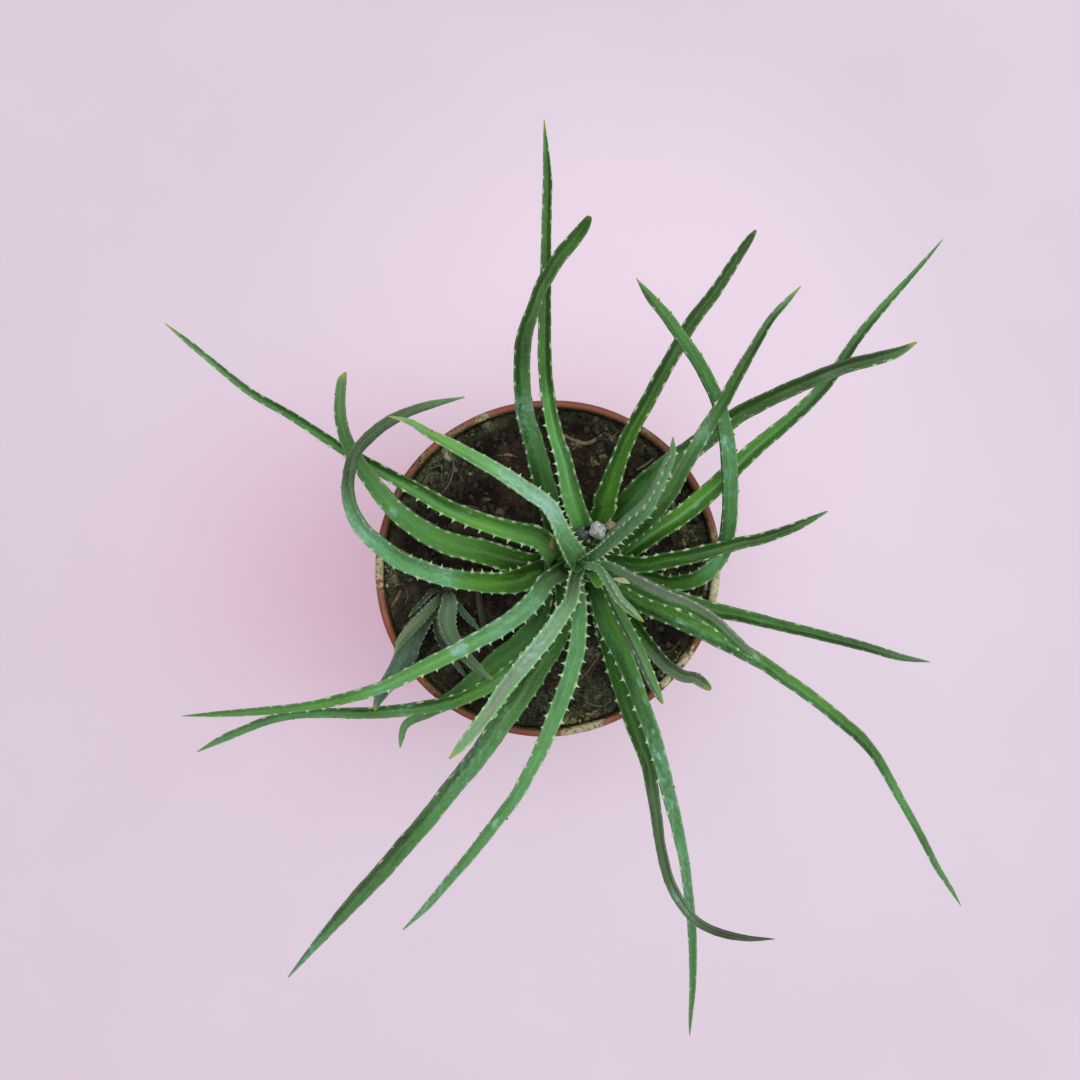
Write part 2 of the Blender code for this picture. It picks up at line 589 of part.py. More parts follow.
def make_pebble(name, place, size, turn, kind, col, seed):
    """A worn, uneven pebble: a sphere pushed in and out by a smooth rule."""
    bm = bmesh.new()
    bmesh.ops.create_icosphere(bm, subdivisions=2, radius=1.0)
    for v in bm.verts:
        d = v.co.normalized()
        r = (1.0 + 0.10 * math.sin(3.1 * d.x + seed)
             + 0.08 * math.sin(4.3 * d.y + 1.7 * seed)
             + 0.07 * math.cos(3.7 * d.z + 2.3 * seed))
        v.co = Vector((d.x * size[0], d.y * size[1], d.z * size[2])) * r
    mesh = bpy.data.meshes.new(name)
    bm.to_mesh(mesh)
    bm.free()
    mesh.transform(Matrix.Translation(Vector(place) * MM)
                   @ Matrix.Rotation(turn, 4, 'Z') @ Matrix.Scale(MM, 4))
    return new_object(name, mesh, kind, col)


def make_litter(col):
    """Grit and scraps caught between the leaves and lying on the soil."""
    make_pebble("pumice_stone", from_plan(597.5, 530.5, 136.0),
                (3.0, 3.2, 2.8), 0.4, "stone", col, 1.0)
    make_pebble("grey_pebble", from_plan(582.5, 534.0, 134.0),
                (1.5, 1.9, 1.5), 0.9, "pebble", col, 2.6)
    make_pebble("sand_pebble", from_plan(612.0, 526.0, 134.0),
                (1.6, 1.9, 1.4), -0.5, "sand_pebble", col, 4.1)
    make_pebble("bark_scrap", from_plan(621.0, 581.0, 143.5),
                (3.3, 1.1, 0.7), -0.25, "bark", col, 5.2)
    make_pebble("bract_scrap", from_plan(551.5, 545.0, 132.5),
                (0.9, 1.9, 0.9), 0.1, "bract", col, 0.4)
    points = []
    for u, v in ((561, 433), (569, 438.5), (581, 443), (589, 443),
                 (597, 438.5), (602, 434)):
        p = from_plan(u, v, SOIL_TOP)
        p.z = soil_height(p.x, p.y) + 1.25
        points.append(p)
    make_tube("twig", points, (0.3, 0.55, 0.7, 0.7, 0.6, 0.35), "twig", col, 1)


def build():
    clear_scene()
    col = collection("potted_aloe")
    cutters = collection("potted_aloe_cutters")
    make_pot(col, cutters)
    make_soil(col)
    make_stem(col)
    make_pup_stem(col)
    for name, spec in LEAVES.items():
        kind = "young_leaf" if spec[0][0] > 133 else "leaf"
        new_object(name, leaf_mesh(name, spec, root_on_stem(spec), 0.62),
                   kind, col)
    for name, spec in PUP_LEAVES.items():
        new_object(name, leaf_mesh(name, spec, root_on_pup(spec), 0.6),
                   "pup", col)
    u, v, w = DRY_LEAF[2][0]
    root = from_plan(u, v - 6, DRY_LEAF[0][0])
    new_object("dry_leaf", leaf_mesh("dry_leaf", DRY_LEAF, root, 0.8),
               "dry", col)
    make_litter(col)


build()
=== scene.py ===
# Looks of the potted aloe: every leaf with its channel, teeth, pale margins and
# bloom, the stem with its leaf bases, the soil with its crumbs, fibres and moss,
# and the thin pot with its crusted lip.  Metres, +Z up, in the CAD's own frame.
import bpy
import bmesh
import math
import random
import numpy as np
from mathutils import Vector, Matrix, noise


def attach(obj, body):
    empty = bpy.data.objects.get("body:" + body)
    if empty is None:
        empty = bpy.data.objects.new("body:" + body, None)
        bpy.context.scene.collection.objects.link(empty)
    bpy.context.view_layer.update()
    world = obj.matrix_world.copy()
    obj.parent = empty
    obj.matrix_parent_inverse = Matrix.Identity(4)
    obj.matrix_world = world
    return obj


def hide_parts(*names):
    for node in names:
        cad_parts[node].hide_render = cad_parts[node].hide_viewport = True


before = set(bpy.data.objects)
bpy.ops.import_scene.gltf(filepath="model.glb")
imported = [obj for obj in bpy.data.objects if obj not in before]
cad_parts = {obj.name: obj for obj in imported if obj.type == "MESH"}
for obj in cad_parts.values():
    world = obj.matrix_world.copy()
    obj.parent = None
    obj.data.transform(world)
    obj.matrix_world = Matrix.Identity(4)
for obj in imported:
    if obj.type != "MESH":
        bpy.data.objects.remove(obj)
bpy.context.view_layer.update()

MM = 0.001

# ------------------------------------------------- the part's own sizes (mm)
POT_HEIGHT = 105.0
POT_TOP_RADIUS = 60.2
POT_SQUEEZE = 0.969
POT_SQUEEZE_TURN = math.radians(17.0)
POT_FOOT_RADIUS = 42.0
POT_WALL = 1.3
POT_LIP = 2.5
POT_COLLAR = 14.0
POT_FLOOR = 2.0
DRAIN_HOLE_RADIUS = 4.5
DRAIN_HOLE_RING = 27.0
SOIL_TOP = 96.5
SOIL_RELIEF = 1.1
STEM_FOOT = (1.0, -1.0)
STEM_HEAD = (11.0, 1.6)
STEM_TOP = 139.0
STEM_FOOT_RADIUS = 5.6
STEM_HEAD_RADIUS = 2.0
PUP_CENTRE = (-34.4, -8.3)
PUP_TOP = 104.5
PUP_RADIUS = 3.2
LEAF_THICK = 0.30
GAP = 0.3

EYE = (-2.57, 9.72, 705.0)
PLAN_UNIT = 0.347
PLAN_CENTRE = (540.0, 540.0)
PLAN_REACH = (EYE[2] - POT_HEIGHT) / PLAN_UNIT


def from_plan(u, v, z):
    """Place of the plan point (u right, v towards the viewer) at height z."""
    k = (EYE[2] - z) / PLAN_REACH
    return Vector((EYE[0] + (u - PLAN_CENTRE[0]) * k,
                   EYE[1] - (v - PLAN_CENTRE[1]) * k, z))


# the leaves' plan, as the part lays it out: heights at the root, one third, two
# thirds and the tip; roll of the face at the root and the tip; (u, v, width) ...
LEAVES = {
    "leaf_01": ((119, 131, 123, 113), (0, 0), [
        (540, 539, 25), (520, 533, 23), (500, 527.5, 20.5), (480, 521, 19.5),
        (450, 509, 18), (420, 492, 16), (400, 481, 14), (380, 470, 12.5),
        (346, 451, 11), (330, 441, 10), (290, 415, 9), (250, 392, 8),
        (210, 360, 6.5), (188, 342, 5.5), (164.5, 323, 0.8)]),
    "leaf_02": ((104, 114, 141, 152), (0, 0), [
        (512, 560, 26), (500, 557, 28), (480, 551, 27), (450, 544, 25),
        (425, 532, 23), (400, 514, 21), (380, 492, 18.5), (363, 469, 16),
        (348, 444, 14), (341, 420, 12.5), (340, 400, 11.5), (342, 381, 9.5),
        (346, 372, 2.5)]),
    "leaf_03": ((109, 126, 159, 170), (0, -75), [
        (535, 573, 25), (520, 580, 27), (500, 583, 24), (470, 581, 21),
        (450, 578, 20), (430, 572.5, 20), (400, 560, 20), (378, 544, 18.5),
        (362, 528, 17.5), (352, 509, 16), (348.5, 490, 14.5), (350, 471, 13.5),
        (355, 454, 12.5), (368.5, 438, 12.5), (387, 423, 12), (409, 412, 10),
        (434, 404, 7.5), (465, 397, 1.2)]),
    "leaf_04": ((138, 163, 180, 190), (0, 0), [
        (573, 551, 18), (565, 538, 17), (558, 522, 16.5), (548, 505, 17),
        (527, 490, 17), (500, 472, 15.5), (470, 455, 14), (450, 444, 12.5),
        (430, 434, 9.5), (410, 422, 6.5), (388, 416, 1.2)]),
    "leaf_05": ((110, 140, 164, 162), (0, 0), [
        (549, 500, 22), (543, 480, 23), (538, 460, 22.5), (533, 440, 21),
        (526.5, 420, 19.5), (523.5, 400, 18), (522, 380, 17), (522.5, 350, 17),
        (526, 330, 15.5), (533, 310, 13), (540, 290, 13), (548, 275, 13),
        (560, 256, 12.5), (572, 242, 12), (583, 228, 11), (590, 216, 5.5)]),
    "leaf_06": ((126, 146, 148, 134), (0, 0), [
        (582, 530, 22), (576, 510, 22.5), (570, 490, 21.5), (563.5, 460, 18),
        (557, 440, 16.5), (552, 420, 15.5), (548.5, 400, 15), (546, 380, 14.5),
        (544.5, 350, 14), (545, 300, 12.5), (546, 250, 10.5), (547, 200, 10),
        (547.5, 180, 9.5), (546, 150, 6), (544, 119, 0.8)]),
    "leaf_07": ((115, 138, 140, 128), (0, 0), [
        (602, 514, 24), (605, 500, 25), (612, 480, 21), (619, 460, 18.5),
        (627, 440, 17), (637, 420, 15.5), (648.5, 400, 15.5), (659, 380, 15),
        (676, 350, 14.5), (692, 322, 14), (715, 292, 12.5), (737, 258, 10.5),
        (749, 240, 8), (756, 230, 3)]),
    "leaf_08": ((107, 117, 153, 171), (0, 20), [
        (645, 577, 14), (668, 583, 16), (690, 581, 18), (706, 573, 18),
        (718, 560, 17), (725, 545, 17), (729, 520, 17), (730, 500, 17),
        (730, 480, 17.5), (728, 450, 18), (724, 425, 16), (718, 402, 15.5),
        (708, 380, 15), (697, 360, 15), (683, 340, 14), (667, 317, 13),
        (650, 297, 10), (636, 278, 0.8)]),
    "leaf_09": ((121, 152, 172, 172), (0, 0), [
        (612, 547, 17), (635, 530, 19), (651, 516, 19.5), (661, 503, 19),
        (672, 489, 17), (682, 470, 16), (692, 453, 15.5), (704, 433, 15),
        (722, 404, 13.5), (738, 375, 12), (757, 342, 9.5), (771, 319, 8),
        (787, 301, 6), (801, 286, 1.2)]),
    "leaf_10": ((116, 128, 124, 112), (0, 0), [
        (612, 562, 18), (640, 543, 21), (660, 529, 21), (680, 516, 21),
        (700, 500, 20.5), (719, 483, 19), (753.5, 450, 16.5), (789.5, 420, 14),
        (815, 396, 13), (835, 372, 12), (856, 340, 10), (880.5, 310, 8.5),
        (907.5, 280, 5.8), (928, 257, 3.8), (943, 239, 0.8)]),
    "leaf_11": ((109, 128, 142, 140), (0, 0), [
        (622, 512, 28), (634, 499, 31), (650, 483, 29), (668, 467, 25.5),
        (692, 449, 22), (715, 432, 20), (738, 415, 18), (761, 403, 16.5),
        (784, 392, 16), (807, 382, 15.5), (830, 372.5, 15), (852, 364.5, 14),
        (875, 359, 13.5), (898, 352, 10), (917, 342, 2)]),
    "leaf_12": ((137, 160, 178, 190), (45, 45), [
        (602, 549, 15), (614, 537, 19), (632, 519, 20), (645, 507, 18.5),
        (655, 491, 15), (661, 478, 14), (667, 464, 12.5), (672, 452, 8.5),
        (673, 437, 1.5)]),
    "leaf_13": ((127, 140, 142, 136), (0, 0), [
        (612, 562, 18), (640, 565, 18), (665, 561, 18), (690, 556, 17),
        (710, 551, 16), (740, 543, 13), (760, 539, 12), (790, 529, 10),
        (810, 520, 7), (828, 511, 1.5)]),
    "leaf_14": ((111.5, 120, 121, 116), (0, 0), [
        (640, 586, 16), (690, 602, 16), (716, 610, 15), (747, 617, 13.5),
        (779, 625, 12), (800, 630, 11.5), (816, 634, 11), (866, 647, 9.5),
        (900, 657, 7.5), (930, 662, 1.2)]),
    "leaf_15": ((120, 131, 128, 106), (0, 0), [
        (605, 580, 17), (638, 601, 20), (669, 615, 20), (700, 629.5, 18.5),
        (732, 646, 16.5), (763, 663, 14.5), (783, 677, 13.5), (802, 690, 13),
        (824.5, 707, 12.5), (846, 725, 12.5), (860, 737, 12),
        (875.5, 755.5, 10.5), (889, 778, 9.5), (901, 800, 8.5),
        (913.5, 822, 8), (925.5, 844.5, 7.5), (937, 867, 6.5),
        (951, 889, 4.5), (961, 906, 0.8)]),
    "leaf_16": ((134, 146, 152, 156), (30, 45), [
        (604, 566, 14), (625, 577, 18), (650, 590, 19), (672, 599, 16),
        (690, 606, 14.5), (713, 620, 13), (733, 638, 11.5), (748, 651, 9),
        (761, 660, 2.5)]),
    "leaf_17": ((105.5, 113, 121, 126), (0, 0), [
        (612, 600, 13), (630, 620, 15), (645, 641, 15.5), (657, 656, 15),
        (669, 668, 14), (683, 676, 12.5), (695, 678, 12), (704, 684, 10),
        (711, 690, 5)]),
    "leaf_18": ((129, 143, 152, 156), (-25, -35), [
        (602, 580, 11), (612, 600, 12), (622, 620, 13.5), (631, 637, 13.5),
        (640.5, 656, 13), (649, 676, 12), (656.5, 692, 9), (663, 704, 2.5)]),
    "leaf_19": ((141, 157, 168, 174), (25, 40), [
        (598, 568, 11), (611, 585, 12), (620, 599, 11), (632, 611, 9),
        (644, 622, 2)]),
    "leaf_20": ((100.5, 117, 135, 140), (0, 45), [
        (590, 588, 14), (596, 603, 16), (604, 633, 17), (610.5, 655, 17),
        (617, 677, 17), (629.5, 715, 16), (641, 745, 15.5), (647.5, 763, 14.5),
        (653, 793, 13), (657, 820, 12), (661, 847, 11), (669, 879, 11),
        (682, 904, 10.5), (697, 921, 9.5), (719, 932, 9), (747, 938, 6.5),
        (775, 939, 1)]),
    "leaf_21": ((113, 129, 125, 108), (0, 0), [
        (594, 585, 20), (602, 606, 24), (609.5, 627, 25), (618.5, 645, 23.5),
        (627.5, 667, 21), (634.5, 684, 19), (642.3, 707, 17.5), (650, 727, 17),
        (660, 760, 15.5), (668.5, 793, 14.5), (675.5, 820, 13),
        (681, 845, 11.5), (685, 866, 10.5), (690, 907, 9.5), (692.2, 934, 9),
        (693, 962, 8), (692.5, 990, 6.5), (690.5, 1018, 4),
        (689.7, 1036, 0.8)]),
    "leaf_22": ((129, 143, 138, 118), (0, 0), [
        (580, 600, 14), (579, 625, 17), (577, 648, 18), (573, 665, 18),
        (569, 680, 18), (563.7, 694, 18), (553, 721, 17), (545, 740, 15.5),
        (539, 754, 14.5), (531, 769, 13.5), (516, 796, 13), (495.5, 823, 12),
        (474, 851, 11), (450, 879, 9.4), (427, 906, 7.4), (403, 930, 1.2)]),
    "leaf_23": ((119, 129, 126, 112), (0, 0), [
        (560, 632, 20), (543, 662, 22), (523, 693, 23), (501, 724, 22),
        (475, 760, 21), (451, 789, 19.5), (426, 821, 18.8), (403.5, 846.5, 18.4),
        (383, 870.5, 17.6), (359.5, 895.5, 16), (337, 920.5, 12.5),
        (315.5, 945, 8.3), (288, 977.5, 1.5)]),
    "leaf_24": ((139, 160, 174, 182), (0, 0), [
        (575, 578, 15), (571, 600, 16), (562, 614, 17), (550, 632, 18),
        (538, 647, 18), (525, 663, 18), (513, 678, 17), (502, 692, 16),
        (490, 710, 15), (476, 728, 13), (462, 745, 10), (449, 759, 2)]),
    "leaf_25": ((127, 143, 144, 126), (0, 0), [
        (547, 581, 20), (535, 598.5, 20.5), (518, 615, 20), (500, 627.5, 19.5),
        (483, 637, 18.5), (453, 653, 17.5), (418, 670, 15.5),
        (380, 688, 13), (342, 699, 11.5), (307, 706.5, 9.5), (263, 711, 8.5),
        (219, 714, 6), (182, 716, 0.8)]),
    "leaf_26": ((116, 122, 118, 108), (0, 0), [
        (552, 622, 14), (540, 642, 15.5), (523, 660, 16), (501, 678, 16),
        (478, 691, 15.5), (453, 701.5, 14.5), (424, 707.5, 14),
        (395, 711, 13), (365, 713, 12), (324, 713, 10), (292, 715, 9),
        (266, 721, 9), (249, 727.5, 8.5), (222, 739, 7.5), (197, 752, 1)]),
    "leaf_27": ((104.5, 109, 109, 103), (0, 0), [
        (545, 612, 21), (524, 642, 26), (498, 662, 25), (478, 680, 23),
        (455, 697, 18), (430, 711, 13), (413, 719, 10), (404.5, 726.5, 8),
        (401.5, 737, 6), (400, 748, 1.5)]),
    "leaf_heart": ((135, 143, 148, 151), (0, 0), [
        (592, 570, 13), (597, 579, 14), (599, 588, 8)]),
}

PUP_LEAVES = {
    "pup_leaf_1": ((101, 112, 124, 131), (0, 0), [
        (434, 606, 14), (424, 619, 20), (413, 635, 24), (406, 655, 23),
        (396, 672, 19), (388, 684, 16), (382, 693, 13), (377, 703, 8),
        (375, 711, 2)]),
    "pup_leaf_2": ((103, 114, 121, 124), (0, 0), [
        (434, 604, 8), (425, 614, 9.5), (411, 629, 10), (401, 641, 8),
        (395, 653, 2)]),
    "pup_leaf_3": ((103, 113, 122, 129), (25, 40), [
        (449, 604, 16), (446, 618, 18), (448, 631, 17), (456, 645, 14),
        (466, 657, 11), (480, 671, 8), (493, 680, 1.5)]),
    "pup_leaf_4": ((101, 105, 109, 111), (0, 0), [
        (457, 603, 6), (462, 611, 7), (470, 620, 7), (480, 631, 2)]),
    "pup_leaf_5": ((100.5, 105, 108, 110), (0, 0), [
        (435, 588, 6), (425.5, 598.5, 5.5), (415, 609, 4.5), (408.5, 617, 1.5)]),
    "pup_leaf_6": ((99, 101, 102.5, 104), (0, 0), [
        (437, 618, 7), (438, 634, 8), (447, 651, 8), (459, 668, 5.5),
        (469, 681, 1.5)]),
}
# one withered leaf, lying out over the soil from beneath the rosette
DRY_LEAF = ((99.4, 100.2, 101, 102.5), (0, 0), [
    (477, 577, 5), (479, 596, 7), (483, 622, 7), (490, 645, 6.5),
    (498, 665, 4), (502, 677, 1.2)])




# ---------------------------------------------------------------- each leaf
# How each leaf departs from the plain one; (u, v, amount) marks lie on the plan.
# A pair gives the side to the right of the growing direction, then the left.
# The tone marks hold painted light and shade besides each leaf's own colour:
# higher where a leaf lies well lit, lower at roots that lie in shade. The
# half-tone marks paint one half of a face lighter than the other, the median
# marks paint shade down the groove, and some wax patches are painted highlights.
LOOK = {
    "leaf_01": dict(
        tone_and_shade=[(540, 539, .45), (510, 530, .6), (480, 523, .72),
            (450, 509, .5), (420, 492, .34), (380, 470, .3), (330, 441, .3),
            (290, 415, .35), (250, 392, .42), (205, 356, .7),
            (165, 323, .6)],
        yellow=[(540, 539, .4), (480, 521, .75), (400, 481, .45),
            (330, 441, .4), (250, 392, .2), (165, 323, .15)],
        purple=[(360, 460, 0), (250, 392, .2), (165, 323, .2)],
        chan=[(530, 535, .1), (480, 521, .7), (400, 481, .6),
            (330, 441, .25), (250, 392, .1)],
        patch=[(468, 517, 10, .55, .5, .3), (415, 490, 8, .5, .3, .3),
            (300, 421, 8, .5, .6, .4), (262, 398, 7, .55, .6, .4)],
        fleck=[(400, 481, .1), (300, 421, .5), (200, 350, .5)],
        painted_half_shade=-.28, chanx=-.3, rise=(78, 8), dash=(1.1, 1),
        teeth=(4.8, 5.6), tip=1, tipmm=9, tooth=1.5),
    "leaf_02": dict(
        tone_and_shade=[(512, 560, .1), (490, 556, .4), (470, 549, .75),
            (450, 544, .95), (400, 514, .9), (380, 492, .9), (363, 469, .65),
            (345, 430, .6), (341, 400, .65)],
        yellow=[(512, 560, .8), (490, 556, .7), (470, 549, .6),
            (425, 532, .45), (380, 492, .4), (345, 430, .3)],
        purple=[(420, 530, 0), (360, 465, .1), (341, 410, .35)],
        halfpurple=[(512, 560, 0), (450, 544, .1), (348, 444, .2)],
        patch=[(395, 510, 18, .9, -.3, .5), (425, 534, 12, .7, .3, .3),
            (388, 500, 10, .8, .6, .3), (440, 540, 10, .6, -.5, .3)],
        wax_and_sheen=[(512, 560, 0), (450, 544, .12), (400, 514, .2), (370, 480, .1),
            (350, 440, 0)],
        brown=.7, fleck=.5, rise=(74, 74), dash=(1.4, 1.35), tip=.9, tipmm=4,
        burn=.5, tooth=1.2),
    "leaf_03": dict(
        tone_and_shade=[(535, 573, .1), (515, 581, .22), (500, 583, .42),
            (466, 580, .65), (450, 578, 1), (430, 572, .9), (400, 560, .8),
            (378, 544, .95), (362, 528, 1), (352, 509, .95), (348, 490, .6),
            (350, 471, .38), (409, 412, .42), (434, 404, .5)],
        yellow=[(535, 573, .8), (490, 583, .85), (466, 581, .6),
            (452, 579, .1), (380, 545, .05), (350, 480, 0), (400, 415, .2)],
        purple=[(370, 538, 0), (353, 510, .15), (349, 480, .75),
            (387, 423, .85), (440, 403, .6)],
        wax_and_sheen=[(462, 580, 0), (450, 578, .4), (430, 572, .35), (400, 560, .25),
            (365, 530, .45), (352, 509, .4), (348, 492, .15), (350, 471, 0)],
        roll=[(535, 573, 0), (378, 544, -8), (352, 509, -25),
            (350, 471, -45), (387, 423, -60), (465, 397, -65)],
        thick=[(378, 544, .3), (352, 509, .42), (350, 471, .62),
            (387, 423, .72), (465, 397, .75)],
        fleck=[(480, 582, .2), (440, 576, .7), (360, 500, .3),
            (350, 480, 0)],
        patch=[(418, 566, 12, .7, .5, .3), (392, 554, 8, .7, -.6, .3)],
        rise=([(535, 573, 10), (400, 560, 12), (360, 525, 60)],
            [(535, 573, 74), (360, 525, 50)]),
        dash=([(535, 573, 1), (362, 528, 1), (349, 490, .3), (360, 450, .05),
            (465, 397, 0)], [(535, 573, 1), (362, 528, 1), (349, 490, .3),
            (360, 450, .05), (465, 397, 0)]),
        deep=.2, tip=.6, tipmm=5, teeth=(4.4, 5.4), tooth=1.4, toothfade=.9),
    "leaf_04": dict(
        tone_and_shade=[(573, 551, .4), (565, 538, .6), (558, 522, .95),
            (548, 505, 1.1), (500, 472, 1), (470, 455, .75), (430, 434, .7),
            (410, 422, .75)],
        yellow=[(573, 551, .2), (500, 472, .35), (478, 458, .4),
            (460, 450, .7), (430, 434, .8), (390, 416, .9)],
        purple=[(460, 450, 0), (410, 422, .3)],
        # painted highlight: this wax run and the first patch also paint the
        # whitish gleam at the bend
        wax_and_sheen=[(573, 551, .1), (562, 532, .3), (548, 505, .6), (527, 490, .4),
            (500, 472, .4), (478, 458, .05), (460, 450, 0)],
        patch=[(549, 507, 16, 1, -.15, .4), (560, 528, 14, .8, -.7, .3),
            (538, 497, 8, .8, .4, .3)],
        rise=([(573, 551, 8), (520, 486, 12), (470, 455, 60)], 74),
        wide=[(573, 551, 1.35), (565, 538, 1.15), (555, 517, 1)],
        tuck=1.7, hold=9, teeth=(2.4, 4.8), tooth=1.5, edge=(.3, .6),
        dash=(1, .9), tip=.8, tipmm=5, sleeve=5.5),
    "leaf_05": dict(
        tone_and_shade=[(549, 500, .2), (538, 460, .42), (526, 420, .42),
            (522, 398, .5), (522, 380, .3), (523, 350, .1), (533, 310, .2),
            (548, 275, .08), (560, 256, .02), (583, 228, 0)],
        yellow=[(549, 500, .45), (533, 440, .35), (523, 390, .2),
            (523, 350, .3), (560, 256, .7), (583, 228, .6)],
        purple=[(523, 380, .1), (523, 350, .4), (548, 275, .3),
            (583, 228, .1)],
        wax_and_sheen=[(545, 485, 0), (538, 465, .15), (522, 405, .4), (522, 380, .1),
            (523, 340, 0)],
        patch=[(521, 400, 24, .55, -.3, .5)],
        wide=[(549, 500, 1), (523, 350, 1), (548, 275, 1.12),
            (560, 256, 1.2), (575, 238, 1.22), (583, 228, 1.1)],
        fleck=.25, rise=(74, 60), dash=(.6, .8), tip=.15, burn=1, tipmm=2,
        teeth=(4.4, 5.6)),
    "leaf_06": dict(
        tone_and_shade=[(582, 530, .35), (576, 510, .65), (570, 490, .6),
            (557, 440, .58), (552, 420, .42), (549, 400, .4),
            (546, 380, .12), (544, 350, .1), (545, 300, .15), (546, 250, .1),
            (547, 200, .18), (546, 150, .4)],
        yellow=[(582, 530, .45), (560, 450, .3), (546, 380, .55),
            (545, 300, .6), (546, 250, .65), (546, 150, .5)],
        halfpurple=[(548, 380, 0), (545, 300, -.4), (547, 180, -.5)],
        chan=[(578, 518, .3), (570, 490, 1), (552, 420, .8), (546, 370, .2)],
        patch=[(556, 445, 14, .6, .4, .4), (571, 495, 10, .5, -.3, .3)],
        rise=([(582, 530, 74)], [(582, 530, 10), (549, 400, 14),
            (546, 370, 60)]),
        dash=(.9, .9), tip=.9, tipmm=7, deep=.24, teeth=(4, 5.2), tooth=1.3),
    "leaf_07": dict(
        tone_and_shade=[(602, 514, .15), (612, 490, .28), (637, 420, .12),
            (659, 380, 0), (676, 350, .2), (692, 322, .02), (715, 292, .08),
            (749, 240, .02)],
        yellow=[(602, 514, .6), (640, 415, .6), (660, 380, .5),
            (692, 322, .3), (749, 240, .45)],
        halfyellow=[(602, 514, .8), (637, 420, .7), (680, 345, .35),
            (749, 240, .2)],
        purple=[(640, 415, .1), (659, 380, .35), (692, 322, .35),
            (749, 240, .5)],
        patch=[(697, 313, 10, .4, 0, .6)], rise=(66, 70), dash=(1, .9),
        teeth=(3.6, 5.2), tip=.5, burn=1, fleck=.2),
    "leaf_08": dict(
        tone_and_shade=[(645, 577, .15), (690, 581, .3), (706, 573, .75),
            (718, 560, .85), (726, 545, .3), (730, 480, .6), (728, 440, .6),
            (718, 402, .45), (683, 340, .42), (667, 317, .38),
            (650, 297, .25), (636, 278, .4)],
        yellow=[(645, 577, .6), (690, 581, .5), (706, 573, .1),
            (728, 520, .1), (730, 480, 0), (708, 380, .2), (683, 340, .1),
            (650, 297, .4)],
        wax_and_sheen=[(696, 578, 0), (706, 573, .3), (718, 560, .35), (726, 546, 0),
            (729, 520, .12), (730, 480, .3), (728, 445, .35), (718, 402, .2),
            (690, 350, .05)],
        patch=[(727, 440, 16, .9, -.3, .5), (716, 396, 12, .6, .1, .5)],
        purple=[(700, 370, 0), (667, 317, .15), (640, 283, .2)],
        rise=([(645, 577, 70), (718, 402, 60)], [(645, 577, 8),
            (706, 573, 14), (727, 535, 70)]),
        halfyellow=.15, brown=.6, dash=(1, .8), tip=.8, edge=(.6, .2),
        teeth=(4.4, 5.4)),
    "leaf_09": dict(
        tone_and_shade=[(612, 547, .3), (635, 530, .15), (651, 516, .3),
            (682, 470, .45), (704, 433, .75), (722, 404, .25),
            (738, 375, .12), (757, 342, .18), (771, 319, .25),
            (787, 301, .6)],
        yellow=[(612, 547, .4), (682, 470, .35), (704, 433, .1),
            (738, 375, .65), (757, 342, .6), (801, 286, .4)],
        purple=[(640, 525, .1), (722, 404, .15), (757, 342, .35),
            (787, 301, .3)],
        # painted highlight: the wax mark here paints a pale gleam on the face
        wax_and_sheen=[(686, 462, 0), (704, 433, .4), (716, 413, .05), (724, 402, 0)],
        under=.7, halfpurple=-.25, rise=(70, 40), dash=(.8, .9),
        teeth=(3.8, 5.2), tip=.9, tipmm=6),
    "leaf_10": dict(
        tone_and_shade=[(612, 562, .1), (640, 543, .12), (660, 529, .3),
            (680, 516, .4), (700, 500, .5), (719, 483, .45), (753, 450, .42),
            (789, 420, .3), (815, 396, .5), (835, 372, .3), (856, 340, .25),
            (880, 310, .5), (907, 280, .5), (943, 239, .5)],
        yellow=[(612, 562, .6), (680, 516, .8), (753, 450, .65),
            (789, 420, .5), (835, 372, .1), (856, 340, .4), (943, 239, .3)],
        chan=[(630, 550, .3), (680, 516, 1), (740, 465, .6), (815, 396, .1)],
        purple=[(789, 420, 0), (835, 372, .4), (880, 310, .15)],
        patch=[(695, 503, 12, .7, .2, .3)], painted_half_shade=-.15, rise=(72, 60),
        dash=(.9, 1), tip=.8, deep=.26, teeth=(4.4, 5.4)),
    "leaf_11": dict(
        tone_and_shade=[(622, 512, .1), (650, 483, .35), (668, 467, .55),
            (692, 449, .45), (715, 432, .45), (738, 415, .25),
            (761, 403, .02), (784, 392, 0), (807, 382, -.02), (830, 372, .3),
            (852, 364, .05), (875, 359, .15), (898, 352, .3)],
        yellow=[(622, 512, .4), (692, 449, .2), (761, 403, .5),
            (784, 392, .5), (830, 372, .1), (875, 359, .3), (910, 345, .6)],
        purple=[(692, 449, .05), (761, 403, .4), (852, 364, .65),
            (905, 348, .4)],
        fleck=[(700, 445, .2), (784, 392, .7), (880, 358, .9)],
        painted_half_shade=.2, rise=(60, 70), dash=(1.2, .6), brown=.5, tip=.95,
        tipmm=5, teeth=(4, 5.4)),
    "leaf_12": dict(
        tone_and_shade=[(602, 549, .35), (632, 519, .4), (645, 507, .62),
            (661, 478, .62), (673, 437, .5)],
        purple=[(602, 549, 0), (645, 507, .1), (661, 478, .2),
            (673, 440, .35)],
        roll=[(602, 549, 18), (622, 529, 36), (645, 507, 44), (661, 478, 46),
            (673, 437, 40)],
        thick=[(602, 549, .42), (632, 519, .62), (645, 507, .68),
            (673, 437, .7)],
        tuck=1.7, hold=7, yellow=.12, painted_half_shade=.1, wide=.88,
        teeth=(2.6, 3.6), tooth=1.9, rise=(20, 60), dash=(1, 1.1), under=.38,
        tip=.4, first=2, toothfade=.4, sleeve=5.5, flank=(.6, 1), fleck=.2),
    "leaf_13": dict(
        tone_and_shade=[(612, 562, .1), (640, 565, .06), (665, 561, .02),
